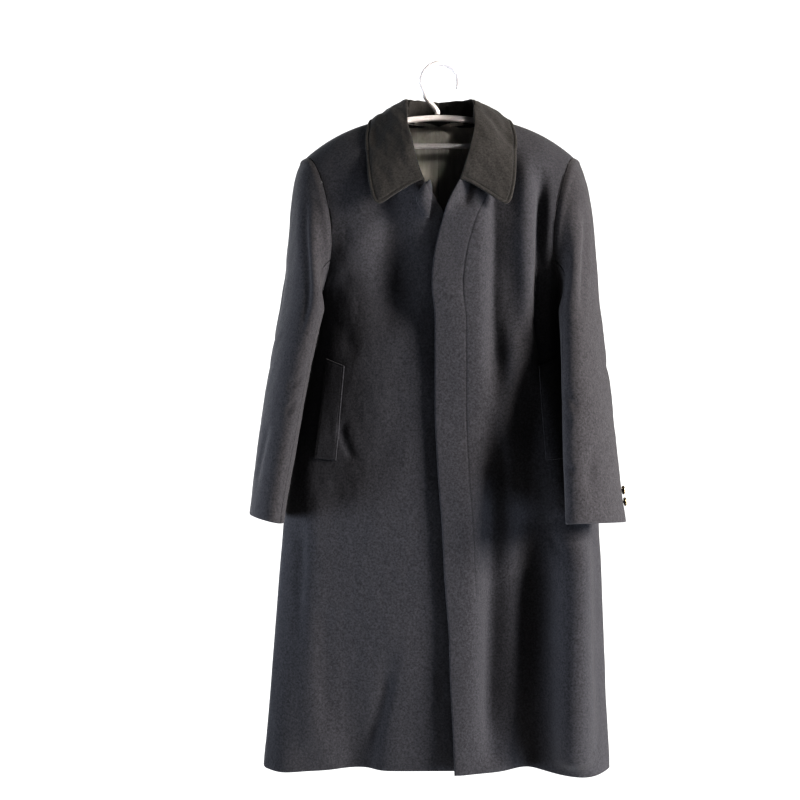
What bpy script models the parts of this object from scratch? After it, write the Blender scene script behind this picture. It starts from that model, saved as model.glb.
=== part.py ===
"""Men's wool overcoat hanging on a plastic hanger, as one named object for each piece that is cut.

Metres, +Z up. The origin is the inner top of the hanger's hook, where a rod would carry it.
The fronts face -Y, and +X is the wearer's left. The coat hangs empty and unbuttoned: the left
front laps over the right one, and each sleeve swings a little forward.
"""

import math

import bmesh
import bpy
import numpy as np
from mathutils import Vector
from mathutils.bvhtree import BVHTree

LEFT, RIGHT = 1, -1
FRONT, BACK = -1, 1

# Cloth
WOOL = 0.0025
COLLAR_WALL = 0.0035
LINING_WALL = 0.001
WELT_WALL = 0.003
SEAM_GAP = 0.0003
SEAM_STRIP = 0.003
LAY_ROUNDS = 8

# Shoulder and armhole
NECK_POINT_X = 0.075
NECK_POINT_Z = -0.0888
TIP_X = 0.232
TIP_Z = -0.160
UNDERARM_X = 0.206
UNDERARM_Z = -0.405
ARMHOLE_DEPTH = {FRONT: 0.072, BACK: 0.068}
ARMHOLE_DIP = {RIGHT: 0.034, LEFT: 0.030}
ARMHOLE_END = 0.26
# Angles round half an armhole, from the underarm to the shoulder tip, where panels and sleeve share points
BESIDE_TIP = 177.6
ARMHOLE_ANGLES = (*range(0, 166, 15), BESIDE_TIP, 180)
HEM_Z = -1.212
# Rows at which the neck edge ends: at the centre seam of a back, and at the collar's end on a front
NECK_ANGLE = 105
COLLAR_END_ANGLE = 75
NECK_ROW = ARMHOLE_END * (1 - NECK_ANGLE / 180)
COLLAR_END_ROW = ARMHOLE_END * (1 - COLLAR_END_ANGLE / 180)

# Side seam: height, half width on the wearer's right, on the wearer's left, depth
SIDE_SEAM = (
    (UNDERARM_Z, UNDERARM_X, UNDERARM_X, 0.000),
    (-0.440, 0.2045, 0.2040, 0.000),
    (-0.500, 0.2150, 0.2100, 0.000),
    (-0.600, 0.2340, 0.2280, 0.003),
    (-0.700, 0.2520, 0.2520, 0.006),
    (-0.800, 0.2710, 0.2740, 0.008),
    (-0.960, 0.2850, 0.2810, 0.010),
    (-1.097, 0.2955, 0.2850, 0.012),
    (HEM_Z, 0.3060, 0.2905, 0.010),
)

# Height of a panel's inner edge on each row, by the row's place between shoulder and hem
EDGE_HEIGHT = (
    (0.000, -0.0888),
    (0.012, -0.0925),
    (0.030, -0.108),
    (0.060, -0.138),
    (0.100, -0.176),
    (COLLAR_END_ROW, -0.217),
    (0.200, -0.270),
    (0.260, -0.340),
    (0.340, -0.440),
    (0.420, -0.545),
    (0.500, -0.650),
    (0.600, -0.765),
    (0.800, -0.985),
    (1.000, -1.203),
)

# Neck and front edge of the left front, which laps over: height, x, y
EDGE_LEFT = (
    (-0.0888, 0.075, 0.000),
    (-0.0925, 0.073, -0.012),
    (-0.108, 0.068, -0.030),
    (-0.138, 0.057, -0.058),
    (-0.176, 0.043, -0.082),
    (-0.212, 0.030, -0.094),
    (-0.257, 0.008, -0.100),
    (-0.300, -0.005, -0.101),
    (-0.340, -0.0135, -0.101),
    (-0.384, -0.0173, -0.101),
    (-0.444, -0.0122, -0.100),
    (-0.581, -0.0122, -0.099),
    (-0.693, -0.0076, -0.097),
    (-0.786, -0.0003, -0.094),
    (-0.879, 0.0043, -0.090),
    (-0.972, 0.0115, -0.086),
    (-1.042, 0.0136, -0.084),
    (-1.136, 0.0186, -0.082),
    (-1.210, 0.0215, -0.080),
)

# Neck and front edge of the right front, which runs on under it: height, x, y
EDGE_RIGHT = (
    (-0.0888, -0.075, 0.000),
    (-0.0925, -0.073, -0.012),
    (-0.108, -0.068, -0.030),
    (-0.138, -0.057, -0.058),
    (-0.176, -0.043, -0.080),
    (-0.212, -0.031, -0.091),
    (-0.235, -0.016, -0.094),
    (-0.270, 0.008, -0.087),
    (-0.320, 0.036, -0.080),
    (-0.400, 0.052, -0.078),
    (-0.580, 0.054, -0.086),
    (-0.790, 0.058, -0.080),
    (-0.970, 0.064, -0.070),
    (-1.210, 0.070, -0.055),
)

# Neck and centre seam of the backs: row, x, y, height
EDGE_BACK = (
    (0.000, 0.075, 0.000, -0.0888),
    (0.012, 0.073, 0.012, -0.0890),
    (0.040, 0.061, 0.038, -0.0890),
    (0.075, 0.036, 0.060, -0.0890),
    (NECK_ROW, 0.000, 0.068, -0.0890),
    (0.160, 0.000, 0.080, -0.125),
    (0.260, 0.000, 0.088, -0.260),
    (0.340, 0.000, 0.088, -0.390),
    (0.420, 0.000, 0.084, -0.520),
    (0.500, 0.000, 0.080, -0.640),
    (0.600, 0.000, 0.080, -0.765),
    (0.800, 0.000, 0.086, -0.985),
    (1.000, 0.000, 0.094, -1.205),
)

# How each row of a front leaves its inner edge and meets its outer one. Lengths along x are
# shares of the row's width: row, along, outward, up, then along, inward, up at the outer end
SWEEP_FRONT = (
    (0.000, 1.00, 0.000, -0.028, 1.00, 0.000, -0.141),
    (0.012, 1.00, 0.005, -0.030, 1.00, 0.000, -0.140),
    (0.060, 1.05, 0.020, -0.040, 0.95, 0.010, -0.110),
    (0.130, 1.15, 0.025, -0.050, 0.75, 0.010, -0.050),
    (0.195, 1.35, 0.010, -0.050, 0.40, 0.100, -0.040),
    (0.260, 1.75, 0.000, -0.030, 0.00, 0.190, -0.020),
    (0.400, 1.95, 0.000, 0.000, 0.00, 0.200, 0.000),
    (0.700, 1.80, 0.000, 0.000, 0.00, 0.190, 0.000),
    (1.000, 1.35, 0.000, 0.000, 0.00, 0.150, 0.000),
)
SWEEP_BACK = (
    (0.000, 1.00, 0.000, -0.028, 1.00, 0.000, -0.141),
    (0.012, 1.00, 0.005, -0.030, 1.00, 0.000, -0.140),
    (0.060, 1.05, 0.030, -0.050, 0.95, 0.010, -0.110),
    (0.130, 1.15, 0.040, -0.100, 0.75, 0.010, -0.060),
    (0.195, 1.35, 0.015, -0.060, 0.40, 0.100, -0.040),
    (0.260, 1.75, 0.000, -0.030, 0.00, 0.170, -0.020),
    (0.400, 1.95, 0.000, 0.000, 0.00, 0.180, 0.000),
    (1.000, 1.70, 0.000, 0.000, 0.00, 0.170, 0.000),
)

# Soft folds, hung from top to bottom and faded at both ends, negative for a trough:
# x and height at the top, x and height at the bottom, reach towards the middle of the coat,
# reach towards the side, depth at the top, depth at the bottom
FOLDS = {
    (LEFT, FRONT): (
        (0.118, -0.170, 0.122, -0.440, 0.020, 0.022, -0.006, -0.006),
        (0.162, -0.600, 0.158, HEM_Z, 0.055, 0.030, 0.000, -0.045),
        (0.215, -0.600, 0.232, HEM_Z, 0.040, 0.045, 0.000, 0.030),
        (0.075, -0.950, 0.075, HEM_Z, 0.035, 0.035, 0.000, -0.008),
    ),
    (RIGHT, FRONT): (
        (0.217, -0.640, 0.215, -1.150, 0.030, 0.030, 0.006, 0.010),
        (0.258, -0.900, 0.264, HEM_Z, 0.032, 0.030, 0.000, 0.016),
        (0.150, -0.900, 0.155, HEM_Z, 0.040, 0.035, 0.000, -0.018),
        (0.090, -1.020, 0.128, HEM_Z, 0.018, 0.030, -0.004, -0.010),
    ),
    (LEFT, BACK): (
        (0.060, -0.420, 0.080, HEM_Z, 0.045, 0.045, 0.000, -0.026),
        (0.150, -0.480, 0.175, HEM_Z, 0.040, 0.050, 0.004, 0.022),
        (0.238, -0.720, 0.250, HEM_Z, 0.035, 0.035, 0.000, -0.018),
    ),
    (RIGHT, BACK): (
        (0.085, -0.360, 0.110, HEM_Z, 0.050, 0.045, 0.000, -0.024),
        (0.165, -0.520, 0.200, HEM_Z, 0.045, 0.045, 0.003, 0.020),
        (0.030, -0.700, 0.035, HEM_Z, 0.030, 0.035, 0.000, 0.012),
    ),
}
FOLD_FADE = 0.080

# Sleeve sections from the bend of the cap down to the cuff: height, centre x, centre y,
# half length front to hind, half thickness, turn of the front edge towards the body in degrees
SLEEVE_RIGHT = (
    (-0.430, 0.2395, -0.022, 0.084, 0.0330, 20),
    (-0.495, 0.2520, -0.032, 0.079, 0.0320, 19),
    (-0.578, 0.2655, -0.044, 0.074, 0.0310, 18),
    (-0.661, 0.2770, -0.055, 0.070, 0.0300, 16),
    (-0.744, 0.2885, -0.066, 0.067, 0.0280, 15),
    (-0.776, 0.2920, -0.070, 0.066, 0.0275, 15),
)
SLEEVE_LEFT = (
    (-0.430, 0.2390, -0.026, 0.084, 0.0330, 20),
    (-0.495, 0.2400, -0.050, 0.079, 0.0330, 24),
    (-0.578, 0.2420, -0.078, 0.074, 0.0330, 31),
    (-0.661, 0.2435, -0.102, 0.071, 0.0320, 38),
    (-0.744, 0.2475, -0.118, 0.070, 0.0310, 44),
    (-0.778, 0.2495, -0.123, 0.070, 0.0300, 47),
)
CAP_Z = -0.430
CUFF_Z = {RIGHT: -0.776, LEFT: -0.778}
# Fall of the cuff towards the body and towards the hind edge, per metre
CUFF_FALL = {RIGHT: (0.22, 0.06), LEFT: (0.03, 0.10)}

# How the sleeve leaves the armhole, by place on it from underarm 0 to shoulder tip 1:
# outward, forward (or back), down, then how far the sleeve's own line carries up to meet it
CAP_SWEEP = (
    (0.00, 0.020, 0.000, 0.030, 0.030),
    (0.12, 0.020, 0.020, 0.050, 0.040),
    (0.25, 0.060, 0.035, 0.075, 0.075),
    (0.50, 0.130, 0.060, 0.060, 0.155),
    (0.75, 0.150, 0.035, 0.070, 0.220),
    (1.00, 0.112, 0.000, 0.080, 0.285),
)
FORE_SEAM = 60
HIND_SEAM = -75
SEAM_INSET = 0.25

# Collar from the centre back to its front end: place, roll line x, y, z, outer edge x, y, z
COLLAR_GUIDE = (
    (0.00, 0.000, 0.066, -0.047, 0.000, 0.096, -0.112),
    (0.20, 0.036, 0.053, -0.048, 0.066, 0.086, -0.114),
    (0.40, 0.058, 0.002, -0.057, 0.122, 0.004, -0.094),
    (0.60, 0.0585, -0.054, -0.104, 0.127, -0.050, -0.145),
    (0.80, 0.0475, -0.089, -0.160, 0.122, -0.086, -0.200),
    (1.00, 0.031, -0.104, -0.211, 0.108, -0.103, -0.252),
)
NECK_POINT_PLACE = 0.40

COLLAR_LIFT = 0.0006
COLLAR_LEAN = 0.1
COLLAR_GAP = 0.0006
TIP_ROUNDING = 0.3

# Back lining: the rows and columns of the backs that it covers, and the pleat down its centre
LINING_ROWS = slice(2, 17)
LINING_COLUMNS = 7
LINING_GAP = 0.0005
PLEAT_DEPTH = 0.003
PLEAT_WIDTH = 0.005

# Pocket welt, x and height of its corners: open edge top and foot, sewn edge top and foot
WELT_CORNERS = ((0.1928, -0.508), (0.2133, -0.676), (0.1611, -0.521), (0.1754, -0.679))
WELT_GAP = 0.0007

# Buttons at each cuff
BUTTON_HEIGHTS = (0.033, 0.052)
BUTTON_PLACE = 248
BUTTON_GAP = 0.0004
# Radius and height, from the middle of the dome, round the rim and down the shank
BUTTON_PROFILE = (
    (0.0000, 0.0056),
    (0.0040, 0.0052),
    (0.0066, 0.0040),
    (0.0075, 0.0028),
    (0.0070, 0.0020),
    (0.0028, 0.0016),
    (0.0024, 0.0000),
    (0.0000, 0.0000),
)

# Hanger
RAIL_RADIUS = 0.0055
BAR_RADIUS = 0.0045
RAIL_END_X = 0.163
RAIL_ARCH = 1.2
RAIL_GAP = 0.0004
BAR_Z = -0.139
HOOK_RADIUS = 0.0045
HOOK_BOWL = 0.0275
HOOK_FOOT_X = -0.0045
# Middle line of the hook's neck above its foot: x and height
HOOK_NECK = ((-0.0085, -0.0735), (-0.0185, -0.0620), (-0.0250, -0.0535))


def through(rows, where):
    """The columns after the first, read at `where` from a smooth line that never overshoots."""
    rows = np.array(sorted(rows))
    at, values = rows[:, 0], rows[:, 1:]
    gaps = np.diff(at)[:, None]
    slopes = np.diff(values, axis=0) / gaps
    lean = np.zeros_like(values)
    lean[0], lean[-1] = slopes[0], slopes[-1]
    turning = slopes[:-1] * slopes[1:] <= 0
    total = np.where(turning, 1.0, slopes[:-1] + slopes[1:])
    lean[1:-1] = np.where(turning, 0.0, 2 * slopes[:-1] * slopes[1:] / total)
    k = int(np.clip(np.searchsorted(at, where) - 1, 0, len(at) - 2))
    share = np.clip((where - at[k]) / gaps[k, 0], 0, 1)
    return bend(values[k], values[k + 1], lean[k] * gaps[k], lean[k + 1] * gaps[k], share)


def bend(start, end, leave, arrive, share):
    """A point on the smooth curve from start to end with the given directions at its ends."""
    s = share
    return (
        start * (2 * s**3 - 3 * s**2 + 1)
        + leave * (s**3 - 2 * s**2 + s)
        + end * (3 * s**2 - 2 * s**3)
        + arrive * (s**3 - s**2)
    )


def steps(count, length, strips=(True, True)):
    """Shares from 0 to 1 in even cells, with a narrow cell beside each end that is a seam."""
    narrow = SEAM_STRIP / length
    inner = np.linspace(0, 1, count + 1)
    ends = ([narrow] if strips[0] else []) + ([1 - narrow] if strips[1] else [])
    return np.array(sorted({*inner, *ends}))


def armhole_curve(side, face, angle):
    """The armhole's line, by angle from 0 at the underarm to 180 at the shoulder tip."""
    turn = math.radians(angle)
    rise = (1 - math.cos(turn)) / 2
    # The line leaves the underarm square to the side seam, and the shoulder tip at a slant.
    dip = ARMHOLE_DIP[side] * math.sin(turn) ** (2 - rise)
    reach = UNDERARM_X + (TIP_X - UNDERARM_X) * rise - dip
    depth = face * ARMHOLE_DEPTH[face] * math.sin(turn)
    if angle >= BESIDE_TIP:
        return np.array([side * TIP_X, depth, TIP_Z])
    return np.array([side * reach, depth, UNDERARM_Z + (TIP_Z - UNDERARM_Z) * rise])


def armhole(side, face, angle):
    """The same line in straight runs between the shared points, so that panels and sleeve meet."""
    after = max(1, int(np.searchsorted(ARMHOLE_ANGLES, angle)))
    low, high = ARMHOLE_ANGLES[after - 1], ARMHOLE_ANGLES[after]
    start, end = (armhole_curve(side, face, a) for a in (low, high))
    return start + (end - start) * (angle - low) / (high - low)


def row_at(angle):
    """The row of a panel that meets the armhole at this angle."""
    return ARMHOLE_END * (1 - angle / 180)


def outer_edge(side, face, row):
    """Shoulder tip, armhole and side seam of a panel, from its top row 0 to the hem 1."""
    if row < ARMHOLE_END:
        return armhole(side, face, 180 * (1 - row / ARMHOLE_END))
    height = UNDERARM_Z + (HEM_Z - UNDERARM_Z) * (row - ARMHOLE_END) / (1 - ARMHOLE_END)
    right, left, depth = through(SIDE_SEAM, height)
    return np.array([side * (left if side == LEFT else right), depth, height])


def inner_edge(side, face, row):
    """Neck and front edge, or neck and centre back seam, of a panel."""
    if face == BACK:
        x, y, z = through(EDGE_BACK, row)
        return np.array([side * x, y, z])
    (z,) = through(EDGE_HEIGHT, row)
    x, y = through(EDGE_LEFT if side == LEFT else EDGE_RIGHT, z)
    return np.array([x, y, z])


def fold_depth(side, face, point):
    """How far the folds push this point of a panel outwards."""
    total = 0.0
    for x0, z0, x1, z1, to_middle, to_side, depth0, depth1 in FOLDS[side, face]:
        share = np.clip((z0 - point[2]) / (z0 - z1), 0, 1)
        off = side * point[0] - (x0 + (x1 - x0) * share)
        reach = to_side if off > 0 else to_middle
        past = max(point[2] - z0, z1 - point[2], 0) / FOLD_FADE
        fade = max(0.0, 1 - past) ** 2
        total += (depth0 + (depth1 - depth0) * share**1.3) * fade * math.exp(-((off / reach) ** 2))
    return total


def panel_point(side, face, across, row):
    """A point of a front or back, across from its inner edge 0 to its outer edge 1."""
    inner, outer = inner_edge(side, face, row), outer_edge(side, face, row)
    sweep = through(SWEEP_FRONT if face == FRONT else SWEEP_BACK, row)
    width = outer[0] - inner[0]
    leave = np.array([sweep[0] * width, sweep[1] * face, sweep[2]])
    arrive = np.array([sweep[3] * width, -sweep[4] * face, sweep[5]])
    point = bend(inner, outer, leave, arrive, across)
    if 0 < across < 1:
        ahead = bend(inner, outer, leave, arrive, across + 0.01)
        along = ahead - point
        outward = np.array([-along[1], along[0], 0.0]) * side * face
        outward /= np.linalg.norm(outward)
        seam = min(1.0, across / 0.08, (1 - across) / 0.12)
        point = point + outward * fold_depth(side, face, point) * seam**2 * (3 - 2 * seam)
    return point


def panel_points(side, face, columns, skirt_rows):
    """The grid of points of a front or back, drawn in at its seams by half a seam gap."""
    centre_seam = face == BACK
    across = steps(columns, 0.22, (centre_seam, True))
    down = [row_at(angle) for angle in reversed(ARMHOLE_ANGLES)]
    down += list(np.linspace(ARMHOLE_END, 1, skirt_rows + 1)[1:])
    grid = np.array([[panel_point(side, face, u, v) for u in across] for v in down])
    # The strips beside the shoulder, side and centre seams lie flat, so that both sides of a seam agree.
    grid[1, :-1] = grid[0, :-1] + [0, face * SEAM_STRIP, 0]
    below_arm = len(ARMHOLE_ANGLES) - 1
    grid[below_arm:, -2] = grid[below_arm:, -1] + [0, face * SEAM_STRIP, 0]
    grid[0, :, 1] += face * SEAM_GAP / 2
    grid[below_arm:, -1, 1] += face * SEAM_GAP / 2
    if centre_seam:
        straight = np.array(down) >= NECK_ROW - 1e-9
        grid[straight, 1] = grid[straight, 0] + [side * SEAM_STRIP, 0, 0]
        grid[straight, 0, 0] += side * SEAM_GAP / 2
    return grid


def cloth(name, points, wall, material, facing, offset=-1):
    """A sheet of cloth: a grid laid on the points and thickened away from the side it faces, or
    towards it with an offset of 1."""
    rows, columns = points.shape[:2]
    bm = bmesh.new()
    bmesh.ops.create_grid(bm, x_segments=columns - 1, y_segments=rows - 1, size=0.5)
    for vert in bm.verts:
        i = round((vert.co.x + 0.5) * (columns - 1))
        j = round((vert.co.y + 0.5) * (rows - 1))
        vert.co = points[j, i]
    bm.normal_update()
    if sum((face.normal * face.calc_area() for face in bm.faces), Vector()).dot(facing) < 0:
        bmesh.ops.reverse_faces(bm, faces=bm.faces)
    mesh = bpy.data.meshes.new(name)
    bm.to_mesh(mesh)
    bm.free()
    mesh.shade_smooth()
    obj = add(name, mesh, material)
    solidify = obj.modifiers.new("Cloth", "SOLIDIFY")
    solidify.thickness = wall
    solidify.offset = offset
    return obj


def add(name, data, material):
    obj = bpy.data.objects.new(name, data)
    data.materials.append(material)
    coat.objects.link(obj)
    return obj


def material(name, colour, roughness, metallic=0.0):
    made = bpy.data.materials.new(name)
    made.use_nodes = True
    shader = made.node_tree.nodes["Principled BSDF"]
    shader.inputs["Base Color"].default_value = (*colour, 1)
    shader.inputs["Roughness"].default_value = roughness
    shader.inputs["Metallic"].default_value = metallic
    return made


def sleeve_point(side, angle, height):
    """A point round a sleeve: 0 degrees beside the body, 90 the front edge, 180 the outer side."""
    x, y, length, thick, turn = through(SLEEVE_LEFT if side == LEFT else SLEEVE_RIGHT, height)
    turn, angle = math.radians(turn), math.radians(angle)
    outward = np.array([math.cos(turn), -math.sin(turn)])
    forward = np.array([-math.sin(turn), -math.cos(turn)])
    off = -outward * thick * math.cos(angle) + forward * length * math.sin(angle)
    to_body, to_hind = CUFF_FALL[side]
    down = np.clip((CAP_Z - height) / (CAP_Z - CUFF_Z[side]), 0, 1)
    return np.array([side * (x + off[0]), y + off[1], height + down * (to_body * off[0] - to_hind * off[1])])


def cap_point(side, angle, share):
    """A point of the sleeve's cap, from its lower end 0 to the armhole 1."""
    angle = angle % 360
    face, angle_there = (FRONT, angle) if angle <= 180 else (BACK, 360 - angle)
    outward, forward, down, lift = through(CAP_SWEEP, angle_there / 180)
    leaving = np.array([side * outward, face * forward, -down])
    end = armhole(side, face, angle_there) + unit(leaving) * SEAM_GAP
    start = sleeve_point(side, angle, CAP_Z)
    rise = start - sleeve_point(side, angle, CAP_Z - 0.02)
    return bend(start, end, unit(rise) * lift, -leaving, share)


def sleeve_row(side, angle, row):
    """A point of a sleeve from the cuff -1, over the foot of the cap 0, to the armhole 1."""
    if row > 0:
        return cap_point(side, angle, row)
    return sleeve_point(side, angle, CAP_Z + (CAP_Z - CUFF_Z[side]) * row)


def sleeve_points(side, first, last, cuff_rows, cap_rows):
    """The grid of points of a top or under sleeve between two seams, given as angles."""
    shared = [*ARMHOLE_ANGLES, *(360 - angle for angle in ARMHOLE_ANGLES[-2::-1])]
    shared += [angle - 360 for angle in shared[:-1]]
    strip = 4
    angles = [first + SEAM_INSET, first + strip, last - strip, last - SEAM_INSET]
    angles = sorted({*angles, *(angle for angle in shared if first < angle < last)})
    lengths = [*np.linspace(-1, 0, cuff_rows, endpoint=False), *steps(cap_rows, 0.15, (False, True))]
    grid = np.array([[sleeve_row(side, a, v) for a in angles] for v in lengths])
    for edge, beside, seam in ((0, 1, first), (-1, -2, last)):
        for j, v in enumerate(lengths[:-1]):
            along = unit(sleeve_row(side, seam + 1, v) - sleeve_row(side, seam - 1, v))
            grid[j, beside] = grid[j, edge] + along * SEAM_STRIP * (1 if edge == 0 else -1)
    return grid


def unit(vector):
    return vector / np.linalg.norm(vector)


def normals_of(panel, points):
    """The direction out of the cloth at each point of a panel's grid."""
    return np.array([vert.normal for vert in panel.data.vertices]).reshape(points.shape)


def neck_seam(side, panels, grids):
    """The neck edge from the centre back to the collar's front end, as the panels' own points: for each
    its place from 0 to 1, the point, the way out of the cloth and the way along it, off the neck."""
    rows = np.array([row_at(angle) for angle in reversed(ARMHOLE_ANGLES)])
    seam = []
    for face, end in ((BACK, NECK_ROW), (FRONT, COLLAR_END_ROW)):
        points = grids[side, face]
        normals = normals_of(panels[side, face], points)
        count = int(np.searchsorted(rows, end + 1e-9))
        run = NECK_POINT_PLACE if face == BACK else 1 - NECK_POINT_PLACE
        half = []
        for k in range(1 if face == FRONT else 0, count):
            along = unit(points[k + 1, 0] - points[k - 1 if k else 0, 0])
            away = points[k, 2] - points[k, 0]
            away = unit(away - along * away.dot(along))
            half.append((NECK_POINT_PLACE + face * -run * rows[k] / end, points[k, 0], normals[k, 0], away))
        seam += half[::-1] if face == BACK else half
    return seam


def collar_points(panels, grids, stand_cells, leaf_cells):
    """The collar's upper face: up its stand from the neck seam, over the roll and down the leaf."""
    halves = []
    for side in (RIGHT, LEFT):
        half = []
        for place, seam, normal, away in neck_seam(side, panels, grids):
            guide = through(COLLAR_GUIDE, place)
            roll, edge = (guide[k : k + 3] * [side, 1, 1] for k in (0, 3))
            seam = seam + (normal if place > NECK_POINT_PLACE else np.array([0, 0, 1])) * COLLAR_LIFT
            up = unit(roll - seam)
            up = unit(up - away * max(0, up.dot(away) + COLLAR_LEAN))
            over = unit((edge - roll) * [1, 1, 0.25])
            height = np.linalg.norm(roll - seam)
            width = np.linalg.norm(edge - roll)
            stand = [
                bend(seam, roll, up * height, over * height * 0.9, s)
                for s in np.linspace(0, 1, stand_cells, endpoint=False)
            ]
            fall = unit(edge - roll)
            leaf = [
                bend(roll, edge, over * width * 0.6, fall * width * 1.1, s)
                for s in np.linspace(0, 1, leaf_cells + 1) ** 1.3
            ]
            half.append(stand + leaf)
        half[0] = [point * [0, 1, 1] for point in half[0]]
        halves.append(half[:0:-1] if side == RIGHT else half)
    return np.array(halves[0] + halves[1]).transpose(1, 0, 2)


def faces_of(*objects):
    """The outer faces of some panels, for laying other pieces on them."""
    points, faces = [], []
    for obj in objects:
        first = len(points)
        points += [vert.co.copy() for vert in obj.data.vertices]
        faces += [[first + k for k in face.vertices] for face in obj.data.polygons]
    return BVHTree.FromPolygons(points, faces)


def lay_on(points, below, clear):
    """Lifts a grid until its points, and the middles of its cells and edges, clear the faces below."""
    laid = points.copy()
    rows, columns = points.shape[:2]
    for _ in range(LAY_ROUNDS):
        lift = np.zeros_like(laid)
        for j, i in np.ndindex(rows, columns):
            for down, right in ((0, 0), (0, 1), (1, 0), (1, 1)):
                if j + down >= rows or i + right >= columns:
                    continue
                middle = Vector((laid[j, i] + laid[j + down, i + right]) / 2)
                spot, normal, _, _ = below.find_nearest(middle)
                short = clear - (middle - spot).dot(normal)
                for place in ((j, i), (j + down, i + right)):
                    if short > np.linalg.norm(lift[place]):
                        lift[place] = np.array(normal) * short
        laid += lift
    return laid


def lining_points(side, back, points):
    """Half the back lining, from a back's own points moved inwards, with half a pleat at the centre."""
    lined = points - normals_of(back, points) * (WOOL + LINING_GAP + LINING_WALL)
    seam = slice(ARMHOLE_ANGLES[::-1].index(NECK_ANGLE), None)
    lined[seam, 0, 0] = side * SEAM_GAP / 2
    lined[seam, 1] = lined[seam, 0] + [side * PLEAT_WIDTH, 0, 0]
    lined[seam, :2, 1] -= PLEAT_DEPTH
    return lined[LINING_ROWS, :LINING_COLUMNS]


def welt_points(side, front, columns, rows):
    """A pocket welt's under face, laid on its front along the slant of the pocket."""
    outer_top, outer_foot, inner_top, inner_foot = (np.array(corner) for corner in WELT_CORNERS)
    below = faces_of(front)
    grid = []
    for v in np.linspace(0, 1, rows + 1):
        outer, inner = outer_top + (outer_foot - outer_top) * v, inner_top + (inner_foot - inner_top) * v
        line = []
        for u in np.linspace(0, 1, columns + 1):
            x, z = inner + (outer - inner) * u
            spot, normal, _, _ = below.ray_cast(Vector((side * x, -1, z)), Vector((0, 1, 0)))
            line.append(spot + normal * WELT_GAP)
        grid.append(line)
    return lay_on(np.array(grid), below, WELT_GAP)


def turned(name, profile, segments, place, axis, finish):
    """A round piece turned about its own Z axis, with that axis then laid along `axis`."""
    bm = bmesh.new()
    verts = [bm.verts.new((radius, 0, height)) for radius, height in profile]
    for above, below in zip(verts, verts[1:]):
        bm.edges.new((above, below))
    mesh = bpy.data.meshes.new(name)
    bm.to_mesh(mesh)
    bm.free()
    obj = add(name, mesh, finish)
    obj.location = place
    obj.rotation_euler = Vector(axis).to_track_quat("Z", "Y").to_euler()
    screw = obj.modifiers.new("Turn", "SCREW")
    screw.steps = screw.render_steps = segments
    screw.use_merge_vertices = True
    screw.merge_threshold = 1e-5
    screw.use_smooth_shade = True
    return obj


def cuff_buttons(side, name, finish):
    """Two domed shank buttons beside the hind seam of a cuff."""
    for number, above_cuff in enumerate(BUTTON_HEIGHTS, 1):
        row = -1 + above_cuff / (CAP_Z - CUFF_Z[side])
        spot = sleeve_row(side, BUTTON_PLACE, row)
        around = sleeve_row(side, BUTTON_PLACE + 2, row) - sleeve_row(side, BUTTON_PLACE - 2, row)
        down = sleeve_row(side, BUTTON_PLACE, row - 0.02) - sleeve_row(side, BUTTON_PLACE, row + 0.02)
        normal = unit(np.cross(around, down)) * -side
        turned(f"cuff_button_{name}_{number}", BUTTON_PROFILE, 16, spot + normal * BUTTON_GAP, normal, finish)


def rod(name, path, radius, finish, closed=False):
    """A round moulded rod along a path of points, each with its share of the radius."""
    curve = bpy.data.curves.new(name, "CURVE")
    curve.dimensions = "3D"
    curve.bevel_depth = radius
    curve.bevel_resolution = 2
    curve.use_fill_caps = not closed
    spline = curve.splines.new("POLY")
    spline.points.add(len(path) - 1)
    for point, (x, y, z, share) in zip(spline.points, path):
        point.co = (x, y, z, 1)
        point.radius = share
    spline.use_cyclic_u = closed
    return add(name, curve, finish)


def rail_line():
    """The hanger's loop: along the rail under the shoulder seams, and back along the lower bar."""
    width = TIP_X - NECK_POINT_X
    sink = WOOL + RAIL_GAP + RAIL_RADIUS
    half = []
    for x in np.linspace(NECK_POINT_X, RAIL_END_X, 8):
        at = (x - NECK_POINT_X) / width
        height = [bend(NECK_POINT_Z, TIP_Z, SWEEP_FRONT[0][3], SWEEP_FRONT[0][6], at + d) for d in (-0.01, 0.01)]
        slope = (height[1] - height[0]) / (0.02 * width)
        length = math.hypot(1, slope)
        half.append((x + slope / length * sink, sum(height) / 2 - sink / length))
    x0, z0 = half[0]
    arch = [(x, z0 + RAIL_ARCH * (x0**2 - x**2)) for x in np.linspace(0, x0, 5)[:-1]]
    end_x, end_z = half[-1]
    radius = (end_z - BAR_Z) / 2
    turn = [
        (end_x + radius * math.cos(a), BAR_Z + radius + radius * math.sin(a))
        for a in np.radians((60, 30, 0, -30, -60))
    ]
    bar = [(end_x, BAR_Z), (end_x / 2, BAR_Z)]
    share = BAR_RADIUS / RAIL_RADIUS
    right = [(x, 0, z, 1) for x, z in arch + half] + [(x, 0, z, (1 + share) / 2) for x, z in turn]
    right += [(x, 0, z, share) for x, z in bar]
    left = [(-x, y, z, r) for x, y, z, r in right[1:]]
    return right + [(0, 0, BAR_Z, share)] + left[::-1]


def hook_line():
    """The hook: a neck that swings aside from the rail, then a round bowl open to the right."""
    rail_top = rail_line()[0][2] + RAIL_RADIUS
    centre = -HOOK_BOWL
    reach = HOOK_BOWL + HOOK_RADIUS
    foot = rail_top + SEAM_GAP
    neck = [(-1.0, HOOK_FOOT_X, foot), (0.0, HOOK_FOOT_X, foot + HOOK_RADIUS)]
    neck += [(float(at), *spot) for at, spot in enumerate(HOOK_NECK, 1)]
    neck = [tuple(through(neck, at)) for at in (-1, *np.arange(0, 3.01, 0.5))]
    bowl = [(reach * math.cos(a), centre + reach * math.sin(a)) for a in np.radians(np.arange(212, -29, -15))]
    return [(x, 0, z, 1) for x, z in neck + bowl]


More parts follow.
